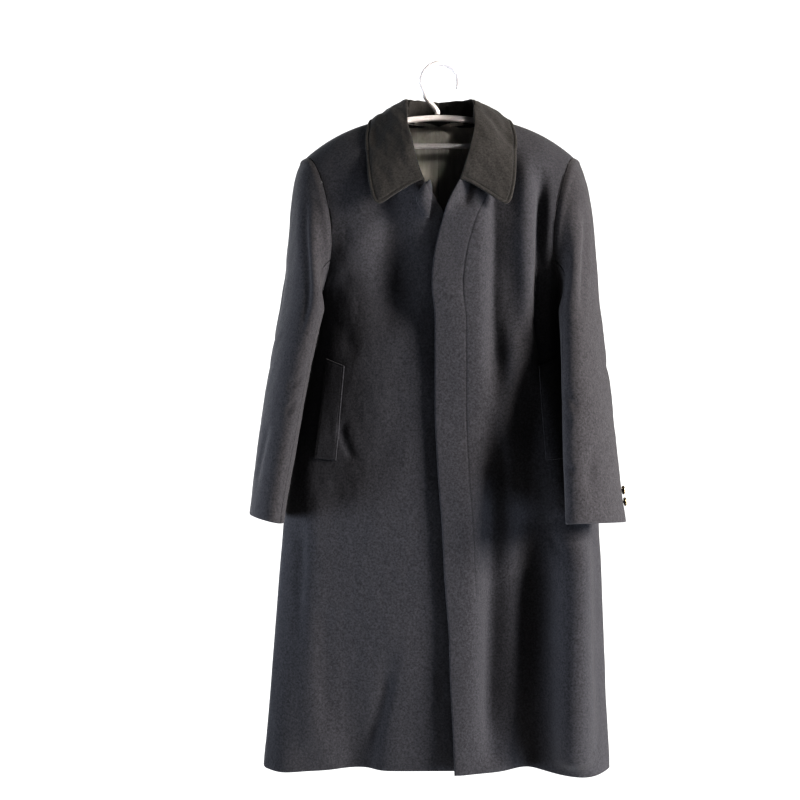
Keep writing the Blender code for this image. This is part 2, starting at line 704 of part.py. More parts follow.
def main():
    charcoal = (0.020, 0.020, 0.022)
    wool = {
        "body": material("wool body", charcoal, 0.9),
        "sleeve": material("wool sleeve", (0.026, 0.025, 0.027), 0.9),
        "collar": material("wool collar", (0.017, 0.016, 0.016), 0.9),
    }
    satin = material("lining satin", (0.085, 0.080, 0.072), 0.45)
    brass = material("button metal", (0.30, 0.24, 0.15), 0.35, 1.0)
    plastic = material("hanger plastic", (0.46, 0.44, 0.44), 0.45)

    panels, grids = {}, {}
    for side, hand in ((RIGHT, "right"), (LEFT, "left")):
        for face, part, columns, skirt_rows in ((FRONT, "front", 14, 14), (BACK, "back", 10, 12)):
            grids[side, face] = points = panel_points(side, face, columns, skirt_rows)
            panels[side, face] = cloth(f"{part}_{hand}", points, WOOL, wool["body"], (0, face, 0))
        points = lining_points(side, panels[side, BACK], grids[side, BACK])
        cloth(f"lining_back_{hand}", points, LINING_WALL, satin, (0, FRONT, 0))
        points = sleeve_points(side, FORE_SEAM, 360 + HIND_SEAM, 7, 6)
        cloth(f"sleeve_{hand}_top", points, WOOL, wool["sleeve"], (side, -1, 0))
        points = sleeve_points(side, HIND_SEAM, FORE_SEAM, 7, 6)
        cloth(f"sleeve_{hand}_under", points, WOOL, wool["sleeve"], (-side, 1, 0))
        cuff_buttons(side, hand, brass)
        points = welt_points(side, panels[side, FRONT], 4, 10)
        cloth(f"pocket_welt_{hand}", points, WELT_WALL, wool["body"], (0, FRONT, 0), offset=1)

    points = collar_points(panels, grids, 4, 6)
    points[4:] = lay_on(points[4:], faces_of(*panels.values()), COLLAR_WALL + COLLAR_GAP)
    for end, inner in ((0, 1), (-1, -2)):
        points[-1, end] += ((points[-2, end] + points[-1, inner]) / 2 - points[-1, end]) * TIP_ROUNDING
    cloth("collar", points, COLLAR_WALL, wool["collar"], (0, 0, 1))
    rod("hanger_frame", rail_line(), RAIL_RADIUS, plastic, closed=True)
    rod("hanger_hook", hook_line(), HOOK_RADIUS, plastic)


for old in list(bpy.data.objects):
    bpy.data.objects.remove(old)
coat = bpy.data.collections.new("Wool overcoat on a hanger")
bpy.context.scene.collection.children.link(coat)
main()
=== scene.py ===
# %% [markdown]
# # A long wool overcoat on its hanger
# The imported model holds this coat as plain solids, one for each piece that is cut. Here each of
# them is dressed: the cloth becomes thin shells with turned edges, folds, seams and stitches, and
# every surface gets a finish made from shader nodes. Lengths are in metres, +Z is up, the fronts
# face -Y, and +X is the wearer's left. The origin is the inner top of the hanger's hook.

# %% The frame and its box
import math

import bpy
import numpy as np
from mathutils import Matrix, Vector
from mathutils.bvhtree import BVHTree


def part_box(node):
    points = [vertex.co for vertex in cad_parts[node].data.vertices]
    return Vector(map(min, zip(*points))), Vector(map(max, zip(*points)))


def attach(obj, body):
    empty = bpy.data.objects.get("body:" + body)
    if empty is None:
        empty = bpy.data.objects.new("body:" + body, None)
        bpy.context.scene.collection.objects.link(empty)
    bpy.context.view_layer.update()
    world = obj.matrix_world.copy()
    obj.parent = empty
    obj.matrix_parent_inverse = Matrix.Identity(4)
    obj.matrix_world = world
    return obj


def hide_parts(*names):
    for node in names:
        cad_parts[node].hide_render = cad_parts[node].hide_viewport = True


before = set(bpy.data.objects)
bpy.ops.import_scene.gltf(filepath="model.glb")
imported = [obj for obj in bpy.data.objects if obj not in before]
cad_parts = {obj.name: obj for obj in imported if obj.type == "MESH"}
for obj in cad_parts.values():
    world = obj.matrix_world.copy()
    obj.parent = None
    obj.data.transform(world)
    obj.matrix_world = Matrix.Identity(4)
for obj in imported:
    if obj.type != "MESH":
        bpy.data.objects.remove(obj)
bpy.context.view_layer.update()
print("solids to dress:", len(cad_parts))

# %% [markdown]
# ## Words for the sides
# A coat has a wearer's left and right, and each half has a front and a back. Signs for these let
# one function draw all four panels, the way a cutter flips one paper pattern.

# %% Sides, cloth and seams
LEFT, RIGHT = 1, -1
FRONT, BACK = -1, 1
HAND = {LEFT: "left", RIGHT: "right"}
PANEL = {FRONT: "front", BACK: "back"}
FORWARD, UP = (0, FRONT, 0), (0, 0, 1)
WOOL = 0.0025
# The gap between two sewn pieces, how deep a seam pulls them in, and how far from it that reaches
SEAM_GAP, SEAM_SINK, SEAM_HOLD = 0.0003, 0.0012, 0.0036

# %% [markdown]
# ## A smooth line through a short table
# A pattern maker draws a seam with a flexible ruler through a few marked points. The same thing in
# code is a cubic curve through the rows of a table, with leans chosen so that it never overshoots
# a row. NumPy reads it for a whole grid of places at once, which keeps the fine meshes quick.

# %% Curves that everything is drawn with
def bend(start, end, leave, arrive, share):
    """Points on the smooth curve from start to end with the given directions at its ends."""
    s = np.asarray(share)[..., None]
    return (
        start * (2 * s**3 - 3 * s**2 + 1)
        + leave * (s**3 - 2 * s**2 + s)
        + end * (3 * s**2 - 2 * s**3)
        + arrive * (s**3 - s**2)
    )


def through(rows, where):
    """The columns after the first of a table, read at `where` along a smooth line."""
    rows = np.array(sorted(rows), float)
    at, values = rows[:, 0], rows[:, 1:]
    gaps = np.diff(at)[:, None]
    slopes = np.diff(values, axis=0) / gaps
    lean = np.zeros_like(values)
    lean[0], lean[-1] = slopes[0], slopes[-1]
    same_way = slopes[:-1] * slopes[1:] > 0
    total = np.where(same_way, slopes[:-1] + slopes[1:], 1.0)
    lean[1:-1] = np.where(same_way, 2 * slopes[:-1] * slopes[1:] / total, 0.0)
    where = np.asarray(where, float)
    k = np.clip(np.searchsorted(at, where) - 1, 0, len(at) - 2)
    share = np.clip((where - at[k]) / gaps[k, 0], 0, 1)
    return bend(values[k], values[k + 1], lean[k] * gaps[k], lean[k + 1] * gaps[k], share)


def unit(vectors):
    """The same directions, each with a length of 1."""
    return vectors / np.maximum(np.linalg.norm(vectors, axis=-1, keepdims=True), 1e-12)


def ease(low, high, value):
    """0 below low, 1 above high and a soft step between."""
    s = np.clip((value - low) / (high - low), 0, 1)
    return s * s * (3 - 2 * s)


def window(value, low, low_end, high, high_end):
    """1 from low_end to high, with a soft step on either side of them and 0 beyond."""
    return ease(low, low_end, value) * (1 - ease(high, high_end, value))


def bell(off, width):
    """1 in the middle and dying away on both sides, as a rounded ridge does."""
    return np.exp(-((off / width) ** 2))


# %% [markdown]
# ## The pattern of the body
# The body is two fronts and two backs. Each is drawn between two lines: an inner edge, which is the
# neck and then the front edge or the centre seam, and an outer edge, which is the armhole and then
# the side seam. These tables are the ones that the solids are made from, so both agree.

# %% Outline of the panels
TIP_X, TIP_Z = 0.232, -0.160
UNDERARM_X, UNDERARM_Z = 0.206, -0.405
ARMHOLE_DEPTH = {FRONT: 0.072, BACK: 0.068}
ARMHOLE_DIP = {RIGHT: 0.034, LEFT: 0.030}
# The rows of a panel run from 0 at the shoulder to 1 at the hem, and pass the underarm here
ARMHOLE_END = 0.26
HEM_Z = -1.212
# The rows at the centre back of the neck and at the collar's end, by their turn of the armhole
NECK_ANGLE, COLLAR_END_ANGLE = 105, 75
NECK_ROW = ARMHOLE_END * (1 - NECK_ANGLE / 180)
COLLAR_END_ROW = ARMHOLE_END * (1 - COLLAR_END_ANGLE / 180)

# Height, half width on the wearer's right, on the wearer's left, depth
SIDE_SEAM = (
    (UNDERARM_Z, UNDERARM_X, UNDERARM_X, 0.000),
    (-0.440, 0.2045, 0.2040, 0.000),
    (-0.500, 0.2150, 0.2100, 0.000),
    (-0.600, 0.2340, 0.2280, 0.003),
    (-0.700, 0.2520, 0.2520, 0.006),
    (-0.800, 0.2710, 0.2740, 0.008),
    (-0.960, 0.2850, 0.2810, 0.010),
    (-1.097, 0.2955, 0.2850, 0.012),
    (HEM_Z, 0.3060, 0.2905, 0.010),
)
# Place of a row between shoulder 0 and hem 1, and the height of its inner edge
EDGE_HEIGHT = (
    (0.000, -0.0888),
    (0.012, -0.0925),
    (0.030, -0.108),
    (0.060, -0.138),
    (0.100, -0.176),
    (COLLAR_END_ROW, -0.217),
    (0.200, -0.270),
    (0.260, -0.340),
    (0.340, -0.440),
    (0.420, -0.545),
    (0.500, -0.650),
    (0.600, -0.765),
    (0.800, -0.985),
    (1.000, -1.203),
)
# Height, x, y of the neck and front edge: the left front laps over
EDGE_LEFT = (
    (-0.0888, 0.075, 0.000),
    (-0.0925, 0.073, -0.012),
    (-0.108, 0.068, -0.030),
    (-0.138, 0.057, -0.058),
    (-0.176, 0.043, -0.082),
    (-0.212, 0.030, -0.094),
    (-0.257, 0.008, -0.100),
    (-0.300, -0.005, -0.101),
    (-0.340, -0.0135, -0.101),
    (-0.384, -0.0173, -0.101),
    (-0.444, -0.0122, -0.100),
    (-0.581, -0.0122, -0.099),
    (-0.693, -0.0076, -0.097),
    (-0.786, -0.0003, -0.094),
    (-0.879, 0.0043, -0.090),
    (-0.972, 0.0115, -0.086),
    (-1.042, 0.0136, -0.084),
    (-1.136, 0.0186, -0.082),
    (-1.210, 0.0215, -0.080),
)
# The same for the right front, which runs on under the left one
EDGE_RIGHT = (
    (-0.0888, -0.075, 0.000),
    (-0.0925, -0.073, -0.012),
    (-0.108, -0.068, -0.030),
    (-0.138, -0.057, -0.058),
    (-0.176, -0.043, -0.080),
    (-0.212, -0.031, -0.091),
    (-0.235, -0.016, -0.094),
    (-0.270, 0.008, -0.087),
    (-0.320, 0.036, -0.080),
    (-0.400, 0.052, -0.078),
    (-0.580, 0.054, -0.086),
    (-0.790, 0.058, -0.080),
    (-0.970, 0.064, -0.070),
    (-1.210, 0.070, -0.055),
)
# Row, x, y, height of the neck and centre seam of the backs
EDGE_BACK = (
    (0.000, 0.075, 0.000, -0.0888),
    (0.012, 0.073, 0.012, -0.0890),
    (0.040, 0.061, 0.038, -0.0890),
    (0.075, 0.036, 0.060, -0.0890),
    (NECK_ROW, 0.000, 0.068, -0.0890),
    (0.160, 0.000, 0.080, -0.125),
    (0.260, 0.000, 0.088, -0.260),
    (0.340, 0.000, 0.088, -0.390),
    (0.420, 0.000, 0.084, -0.520),
    (0.500, 0.000, 0.080, -0.640),
    (0.600, 0.000, 0.080, -0.765),
    (0.800, 0.000, 0.086, -0.985),
    (1.000, 0.000, 0.094, -1.205),
)

# %% [markdown]
# ## How the cloth crosses a panel
# Heavy wool leaves the front edge almost flat and turns in at the side seam. For each row the next
# tables give the direction in which the cloth leaves its inner edge and meets its outer edge, and
# the curve between them does the rest.

# %% Sweep of the rows
# Row, then along (a share of the width), outward and up at the inner edge, the same at the outer
SWEEP = {
    FRONT: (
        (0.000, 1.00, 0.000, -0.028, 1.00, 0.000, -0.141),
        (0.012, 1.00, 0.005, -0.030, 1.00, 0.000, -0.140),
        (0.060, 1.05, 0.020, -0.040, 0.95, 0.010, -0.110),
        (0.130, 1.15, 0.025, -0.050, 0.75, 0.010, -0.050),
        (0.195, 1.35, 0.010, -0.050, 0.40, 0.100, -0.040),
        (0.260, 1.75, 0.000, -0.030, 0.00, 0.190, -0.020),
        (0.400, 1.95, 0.000, 0.000, 0.00, 0.200, 0.000),
        (0.700, 1.80, 0.000, 0.000, 0.00, 0.190, 0.000),
        (1.000, 1.35, 0.000, 0.000, 0.00, 0.150, 0.000),
    ),
    BACK: (
        (0.000, 1.00, 0.000, -0.028, 1.00, 0.000, -0.141),
        (0.012, 1.00, 0.005, -0.030, 1.00, 0.000, -0.140),
        (0.060, 1.05, 0.030, -0.050, 0.95, 0.010, -0.110),
        (0.130, 1.15, 0.040, -0.100, 0.75, 0.010, -0.060),
        (0.195, 1.35, 0.015, -0.060, 0.40, 0.100, -0.040),
        (0.260, 1.75, 0.000, -0.030, 0.00, 0.170, -0.020),
        (0.400, 1.95, 0.000, 0.000, 0.00, 0.180, 0.000),
        (1.000, 1.70, 0.000, 0.000, 0.00, 0.170, 0.000),
    ),
}

# %% [markdown]
# ## Folds of the skirt
# Below the chest nothing fills the coat, so it hangs in long soft folds that open towards the hem.
# Each row below is one of them, and a negative depth is a trough. Each fades out at both ends.

# %% Long folds
# x and height at the top, the same at the foot, reach to the middle, reach to the side,
# depth at the top, depth at the foot
FOLDS = {
    (LEFT, FRONT): (
        (0.118, -0.170, 0.122, -0.440, 0.020, 0.022, -0.006, -0.006),
        (0.162, -0.600, 0.158, HEM_Z, 0.055, 0.030, 0.000, -0.045),
        (0.215, -0.600, 0.232, HEM_Z, 0.040, 0.045, 0.000, 0.030),
        (0.075, -0.950, 0.075, HEM_Z, 0.035, 0.035, 0.000, -0.008),
    ),
    (RIGHT, FRONT): (
        (0.217, -0.640, 0.215, -1.150, 0.030, 0.030, 0.006, 0.010),
        (0.258, -0.900, 0.264, HEM_Z, 0.032, 0.030, 0.000, 0.016),
        (0.150, -0.900, 0.155, HEM_Z, 0.040, 0.035, 0.000, -0.018),
        (0.090, -1.020, 0.128, HEM_Z, 0.018, 0.030, -0.004, -0.010),
    ),
    (LEFT, BACK): (
        (0.060, -0.420, 0.080, HEM_Z, 0.045, 0.045, 0.000, -0.026),
        (0.150, -0.480, 0.175, HEM_Z, 0.040, 0.050, 0.004, 0.022),
        (0.238, -0.720, 0.250, HEM_Z, 0.035, 0.035, 0.000, -0.018),
    ),
    (RIGHT, BACK): (
        (0.085, -0.360, 0.110, HEM_Z, 0.050, 0.045, 0.000, -0.024),
        (0.165, -0.520, 0.200, HEM_Z, 0.045, 0.045, 0.003, 0.020),
        (0.030, -0.700, 0.035, HEM_Z, 0.030, 0.035, 0.000, 0.012),
    ),
}
# How far past its ends a fold fades out, and how its depth grows from the top to the foot
FOLD_FADE, FOLD_GROWTH = 0.080, 1.3


def fold_depth(folds, side, points):
    """How far a table of folds pushes these points of a panel outwards."""
    total = np.zeros(points.shape[:-1])
    z = points[..., 2]
    for x0, z0, x1, z1, to_middle, to_side, depth0, depth1 in folds:
        share = np.clip((z0 - z) / (z0 - z1), 0, 1)
        off = side * points[..., 0] - (x0 + (x1 - x0) * share)
        reach = np.where(off > 0, to_side, to_middle)
        past = np.maximum(np.maximum(z - z0, z1 - z), 0) / FOLD_FADE
        fade = np.maximum(0, 1 - past) ** 2
        total += (depth0 + (depth1 - depth0) * share**FOLD_GROWTH) * fade * bell(off, reach)
    return total


# %% [markdown]
# ## One function for every panel
# The panel's surface takes a share across and a row and returns points. The fold pushes a point
# square to the row, and dies away at the seams so that neighbours still meet.

# %% The panel surface
# Shares of the width in which folds die away at the inner and the outer edge, and a small step
# across, which gives the direction of a row
FOLD_FREE_INNER, FOLD_FREE_OUTER, ACROSS_STEP = 0.08, 0.12, 0.01


def armhole(side, face, angle):
    """The armhole's line, by angle from 0 at the underarm to 180 at the shoulder tip."""
    turn = np.radians(np.clip(angle, 0, 180))
    rise = (1 - np.cos(turn)) / 2
    dip = ARMHOLE_DIP[side] * np.maximum(np.sin(turn), 0) ** (2 - rise)
    reach = UNDERARM_X + (TIP_X - UNDERARM_X) * rise - dip
    depth = face * ARMHOLE_DEPTH[face] * np.sin(turn)
    height = UNDERARM_Z + (TIP_Z - UNDERARM_Z) * rise
    return np.stack([side * reach, depth, height], -1)


def outer_edge(side, face, row):
    """Shoulder tip, armhole and side seam of a panel, from its top row 0 to the hem 1."""
    upper = armhole(side, face, 180 * (1 - row / ARMHOLE_END))
    height = UNDERARM_Z + (HEM_Z - UNDERARM_Z) * (row - ARMHOLE_END) / (1 - ARMHOLE_END)
    right, left, depth = np.moveaxis(through(SIDE_SEAM, height), -1, 0)
    lower = np.stack([side * (left if side == LEFT else right), depth, height], -1)
    return np.where((row < ARMHOLE_END)[..., None], upper, lower)


def inner_edge(side, face, row):
    """Neck and front edge, or neck and centre back seam, of a panel."""
    if face == BACK:
        return through(EDGE_BACK, row) * [side, 1, 1]
    z = through(EDGE_HEIGHT, row)[..., 0]
    return np.concatenate([through(EDGE_LEFT if side == LEFT else EDGE_RIGHT, z), z[..., None]], -1)


def panel_surface(side, face, across, row):
    """Points of a front or back, across from its inner edge 0 to its outer edge 1."""
    inner, outer = inner_edge(side, face, row), outer_edge(side, face, row)
    sweep = through(SWEEP[face], row)
    width = (outer - inner)[..., :1]
    leave = np.concatenate([sweep[..., :1] * width, sweep[..., 1:2] * face, sweep[..., 2:3]], -1)
    arrive = np.concatenate([sweep[..., 3:4] * width, -sweep[..., 4:5] * face, sweep[..., 5:6]], -1)
    points = bend(inner, outer, leave, arrive, across)
    along = bend(inner, outer, leave, arrive, across + ACROSS_STEP) - points
    outward = unit(np.stack([-along[..., 1], along[..., 0], 0 * along[..., 0]], -1)) * side * face
    seam = ease(0, 1, np.minimum(across / FOLD_FREE_INNER, (1 - across) / FOLD_FREE_OUTER))
    return points + outward * (fold_depth(FOLDS[side, face], side, points) * seam)[..., None]


# %% [markdown]
# ## Measuring along the cloth
# Stitches and turned edges lie at a set distance from an edge, such as a fly stitched 52 mm from
# it. So each row is measured along the cloth first, and its columns are then put at real
# distances. Extra columns close to an edge let it be rounded.

# %% Rows laid out by distance
EDGE_LINES = np.array((0.0, 0.0003, 0.0009, 0.0018, 0.0030))
FLY_WIDTH = 0.052
CELL = 0.0042
# Metres of cloth to one unit of the rows: near the shoulder, near the hem and between them
ROWS_AT_TOP, ROWS_AT_HEM, ROWS_BETWEEN = 0.6, 1.09, 0.98
# Steps across in which a row is measured, and the least that is left of it beside fixed columns
FINE_STEPS, SHORTEST = 241, 1e-3


def lengths_along(points, axis):
    """Distance from the first point of each line of a grid, measured along the cloth."""
    steps = np.linalg.norm(np.diff(points, axis=axis), axis=-1)
    start = np.zeros_like(np.take(steps, [0], axis))
    return np.concatenate([start, np.cumsum(steps, axis)], axis)


def lengths_back(points, axis):
    """The same distance, measured back from the last point of each line."""
    there = lengths_along(points, axis)
    return np.take(there, [-1], axis) - there


def spread(length, first, last, cell=CELL):
    """Distances from 0 to length: fixed ones near each end, and even ones a cell apart between."""
    first, last = np.array(first), length - np.array(last)[::-1]
    count = max(2, int(round((last[0] - first[-1]) / cell)))
    return np.concatenate([first, np.linspace(first[-1], last[0], count + 1)[1:-1], last])


def panel_grid(side, face, inner_lines):
    """The fine grid of a panel, with columns at real distances from both of its edges."""
    rows = spread(1.0, EDGE_LINES / ROWS_AT_TOP, EDGE_LINES / ROWS_AT_HEM, CELL / ROWS_BETWEEN)
    dense = np.linspace(0, 1, FINE_STEPS)
    across, row = np.meshgrid(dense, rows)
    measured = lengths_along(panel_surface(side, face, across, row), 1)
    widest = measured[:, -1].max()
    lines = spread(widest, inner_lines, EDGE_LINES)
    fixed, rim = inner_lines[-1], widest - lines
    places = []
    for line in measured:
        tail = max(line[-1] - fixed, SHORTEST) / (widest - fixed)
        wanted = np.where(lines <= fixed, lines, fixed + (lines - fixed) * tail)
        wanted = np.where(rim <= EDGE_LINES[-1], line[-1] - rim, wanted)
        places.append(np.interp(np.maximum.accumulate(wanted), line, dense))
    across = np.array(places)
    return panel_surface(side, face, across, np.broadcast_to(rows[:, None], across.shape)), rows


# %% [markdown]
# ## Creases placed one by one
# Worn wool keeps soft creases that follow how the coat was worn and folded. They could come from a
# cloth simulation, but then none would lie where the real ones do. So each is a row of a table: a
# short bowed path on the cloth, with a width and a depth, that fades at both ends.

# %% Creases
# Start across and height, end across and height, bow, width, depth: negative is a trough
CREASES = {
    (RIGHT, FRONT): (
        (0.168, -0.612, 0.142, -0.684, -0.006, 0.007, -0.0035),
        (0.086, -1.030, 0.126, -1.180, 0.004, 0.011, -0.0045),
        (0.176, -0.372, 0.120, -0.430, 0.008, 0.012, -0.0009),
        (0.186, -0.435, 0.140, -0.520, 0.006, 0.013, -0.0016),
        (0.070, -0.560, 0.110, -0.700, 0.010, 0.020, -0.0020),
        (0.238, -0.760, 0.246, -1.020, 0.004, 0.010, -0.0038),
        (0.196, -0.905, 0.190, -1.160, -0.005, 0.016, -0.0040),
        (0.041, -0.216, 0.027, -0.284, 0.002, 0.007, 0.0085),
        (0.094, -0.140, 0.078, -0.480, 0.004, 0.036, -0.0220),
    ),
    (LEFT, FRONT): (
        (0.097, -0.125, 0.094, -0.640, 0.003, 0.0190, -0.0200),
        (0.139, -0.150, 0.141, -0.480, 0.002, 0.0150, 0.0090),
        (0.168, -0.180, 0.171, -0.560, 0.003, 0.0100, -0.0170),
        (0.182, -0.797, 0.206, -0.842, 0.004, 0.008, -0.0042),
        (0.196, -0.770, 0.168, -0.800, -0.003, 0.007, -0.0028),
        (0.190, -0.420, 0.128, -0.500, 0.010, 0.013, -0.0026),
        (0.060, -0.620, 0.052, -0.800, 0.006, 0.018, -0.0018),
        (0.118, -0.840, 0.104, -1.090, 0.005, 0.016, -0.0034),
        (0.219, -0.755, 0.222, -1.265, 0.000, 0.025, 0.0370),
        (0.086, -0.560, 0.096, -1.270, 0.000, 0.027, -0.0300),
        (0.050, -0.205, 0.034, -0.264, 0.000, 0.009, -0.0080),
        (0.146, -0.500, 0.152, -1.100, 0.000, 0.032, -0.0200),
    ),
    (RIGHT, BACK): (
        (0.120, -0.185, 0.108, -0.400, 0.006, 0.018, -0.0042),
        (0.182, -0.400, 0.116, -0.478, 0.010, 0.013, -0.0034),
        (0.192, -0.440, 0.134, -0.560, 0.008, 0.015, -0.0028),
        (0.060, -0.520, 0.074, -0.760, 0.006, 0.018, -0.0026),
        (0.214, -0.700, 0.222, -0.990, 0.005, 0.014, -0.0040),
        (0.128, -0.860, 0.140, -1.170, -0.006, 0.017, -0.0042),
    ),
    (LEFT, BACK): (
        (0.112, -0.195, 0.118, -0.380, -0.005, 0.017, -0.0038),
        (0.184, -0.410, 0.110, -0.500, 0.009, 0.014, -0.0036),
        (0.040, -0.460, 0.052, -0.700, 0.005, 0.020, -0.0024),
        (0.200, -0.640, 0.210, -0.900, 0.006, 0.014, -0.0036),
        (0.114, -0.800, 0.122, -1.120, 0.005, 0.016, -0.0040),
    ),
}
# Shares of its path in which a crease comes in at its start and goes out at its end
CREASE_START, CREASE_END = 0.22, 0.30


def crease_depth(rows, across, height):
    """How far a table of creases pushes points out, from their two coordinates on the cloth."""
    total = np.zeros(np.shape(across))
    for u0, v0, u1, v1, bow, width, depth in rows:
        run = math.hypot(u1 - u0, v1 - v0)
        along = ((across - u0) * (u1 - u0) + (height - v0) * (v1 - v0)) / run
        off = ((across - u0) * (v1 - v0) - (height - v0) * (u1 - u0)) / run
        share = np.clip(along / run, 0, 1)
        off = off - bow * 4 * share * (1 - share)
        past = np.maximum(np.maximum(-along, along - run), 0)
        ends = ease(0, CREASE_START, share) * ease(0, CREASE_END, 1 - share) * bell(past, width)
        total += depth * ends * bell(off, width)
    return total


# %% [markdown]
# ## Fullness at the side seams
# Between the chest and the hip the coat is a little fuller behind its hanging sleeves. That could
# be one more column in the table of the side seam, but it is only 7 to 8 mm. So it is a soft push
# outwards, which grows towards the side and dies away above and below.

# %% Fullness of the sides
SIDE_FULLNESS = {RIGHT: 0.008, LEFT: 0.007}
FULL_HEIGHTS, FULL_WIDTHS = (-0.84, -0.66, -0.46, -0.36), (0.16, 0.26)


def side_full(points):
    """Where the side seam swells out behind the hanging sleeve, from 0 to 1."""
    return window(points[..., 2], *FULL_HEIGHTS) * ease(*FULL_WIDTHS, np.abs(points[..., 0]))


# %% [markdown]
# ## The small unevenness of hung wool
# No hung cloth is a perfect curve. A sum of random waves gives a gentle unevenness that is the
# same on every run, because the random numbers start from a fixed seed. Long waves are tall and
# short waves are low, as they are in real cloth.

# %% Unevenness
# How many waves there are, how much shorter each is than the last, how much they run across, in
# depth and upright, and what they add up to beside the longest
WAVES, SHORTER, WAVE_WAYS, WAVE_SUM = 26, 0.88, (1.0, 0.6, 0.45), 1.6
BODY_SEED, SLEEVE_SEED, COLLAR_SEED = 11, 41, 71


def uneven(points, seed, longest=0.16, tallest=0.0006):
    """A smooth random height for each point, the same every time for one seed."""
    draw = np.random.default_rng(seed)
    total = np.zeros(points.shape[:-1])
    for k in range(WAVES):
        length = longest * SHORTER**k
        way = unit(draw.normal(size=3) * WAVE_WAYS)
        total += length * np.sin(points @ way * 2 * math.pi / length + draw.uniform(0, 2 * math.pi))
    return total * tallest / (longest * WAVE_SUM)


# %% [markdown]
# ## From a grid to cloth with turned edges
# A sheet in Blender has no thickness. The Solidify modifier could give it some, with square edges,
# but a coat's edges are soft and round. So the shell is built from two layers that close together
# along an ellipse as they near the edge, and share their points there, which leaves no open hole.

# %% Cloth shells
def normals(points, outward):
    """The unit direction out of the cloth at each point of a grid, on the side of `outward`."""
    normal = unit(np.cross(np.gradient(points, axis=1), np.gradient(points, axis=0)))
    return normal * np.sign((normal @ np.array(outward, float)).mean())


def edge_distance(points):
    """How far each point of a grid lies from the grid's nearest edge, along the cloth."""
    ways = lengths_along, lengths_back
    return np.min([way(points, axis) for axis in (0, 1) for way in ways], axis=0)


def armhole_inward(points):
    """The way into the coat at the armhole, the same for every piece that meets there."""
    return unit(-points * [0, 1, 1] + [0, 0, (TIP_Z + UNDERARM_Z) / 2])


def hold(distance):
    """How firmly a seam holds the cloth at some distance from it, from 1 down to 0."""
    return (1 - ease(0, SEAM_HOLD, distance))[..., None]


def numbered(*shape, first=0):
    """A grid of point numbers, which count on from `first`."""
    return first + np.arange(math.prod(shape)).reshape(shape)


def cells(index, flip=False):
    """The four corners of each cell in a grid of point numbers."""
    corners = [index[..., :-1, :-1], index[..., :-1, 1:], index[..., 1:, 1:], index[..., 1:, :-1]]
    return np.stack(corners[::-1] if flip else corners, -1).reshape(-1, 4)


def put(name, data):
    """A new object in the scene, made from its data."""
    thing = bpy.data.objects.new(name, data)
    bpy.context.scene.collection.objects.link(thing)
    return thing


def mesh_object(name, points, faces, finishes, finish_of=None):
    """A smooth mesh from points and faces, with one or more finishes."""
    mesh = bpy.data.meshes.new(name)
    mesh.from_pydata(points.tolist(), [], faces.tolist())
    for finish in finishes:
        mesh.materials.append(finish)
    if finish_of is not None:
        mesh.polygons.foreach_set("material_index", finish_of.astype(np.int32))
    mesh.polygons.foreach_set("use_smooth", np.full(len(faces), True))
    mesh.update()
    return put(name, mesh)


def shell(name, points, outward, wall, turn, finishes, lined=None, seam=None):
    """A closed sheet: its outer layer on the points, its inner one a wall's thickness behind.
    Its edges are rounded within `turn` of them, and its inner layer has the second finish where
    `lined`. `seam` gives the way into the coat where it is sewn to the next sheet, or else 0."""
    rows, columns = points.shape[:2]
    normal = normals(points, outward)
    wall = np.broadcast_to(wall, (rows, columns))[..., None]
    reach = np.clip(edge_distance(points) / turn, 0, 1)[..., None]
    half = wall / 2 * np.sqrt(np.maximum(1 - (1 - reach) ** 2, 0))
    middle = points - normal * wall / 2
    if seam is not None:
        held = np.linalg.norm(seam, axis=-1, keepdims=True)
        middle = middle * (1 - held) + (points + unit(seam) * SEAM_SINK) * held
    outer, inner = middle + normal * half, middle - normal * half
    every = np.concatenate([outer.reshape(-1, 3), inner[1:-1, 1:-1].reshape(-1, 3)])
    index = numbered(rows, columns)
    behind = index.copy()
    behind[1:-1, 1:-1] = numbered(rows - 2, columns - 2, first=rows * columns)
    corner = np.cross(points[1, 1] - points[1, 0], points[2, 1] - points[1, 1])
    turned_round = corner @ normal[1, 1] < 0
    faces = np.concatenate([cells(index, turned_round), cells(behind, not turned_round)])
    inside = np.zeros(len(faces) // 2) if lined is None else lined[:-1, :-1].reshape(-1)
    finish_of = np.concatenate([np.zeros(len(inside)), inside])
    piece = mesh_object(name, every, faces, finishes, finish_of)
    patches = np.cross(np.diff(points, axis=1)[:-1], np.diff(points, axis=0)[:, :-1])
    area = np.linalg.norm(patches, axis=-1).sum()
    print(f"{name}: {2 * len(faces)} triangles, {area:.3f} m2 of cloth")
    return piece


def dress(piece, node):
    """Hangs a piece on the coat's one body, and hides the solid that it stands for, where there is
    one."""
    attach(piece, "root")
    if node:
        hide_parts(node)


# %% [markdown]
# ## Wool, satin, brass and plastic
# Melton is wool that was felted until the weave is gone, so close up it is a soft, mottled nap.
# A coarse and a fine noise are mixed. The mix wanders between two charcoal tones and raises the
# nap, and the shader's sheen adds the light that fibre ends catch at a slant. The other finishes
# are made from the same few nodes.

# %% Finishes
# The shine of wool and of smooth things, and how soft the sheen is
WOOL_SHINE, SMOOTH_SHINE, SHEEN_ROUGHNESS = 0.25, 0.5, 0.45
# Detail of the coarse and of the fine noise, how many times finer the second is, where the two
# tones lie on their mix, and how strongly it raises the surface
COARSE_DETAIL, FINE_DETAIL, FINER, TONE_STOPS, RAISE = 4, 3, 4.5, (0.36, 0.64), 0.9


def with_inputs(node, **values):
    """The node with some of its inputs set by name, where _ stands for a space."""
    for name, value in values.items():
        node.inputs[name.replace("_", " ")].default_value = value
    return node


def join(tree, *pairs):
    """Links each output to the input beside it."""
    for start, end in pairs:
        tree.links.new(start, end)


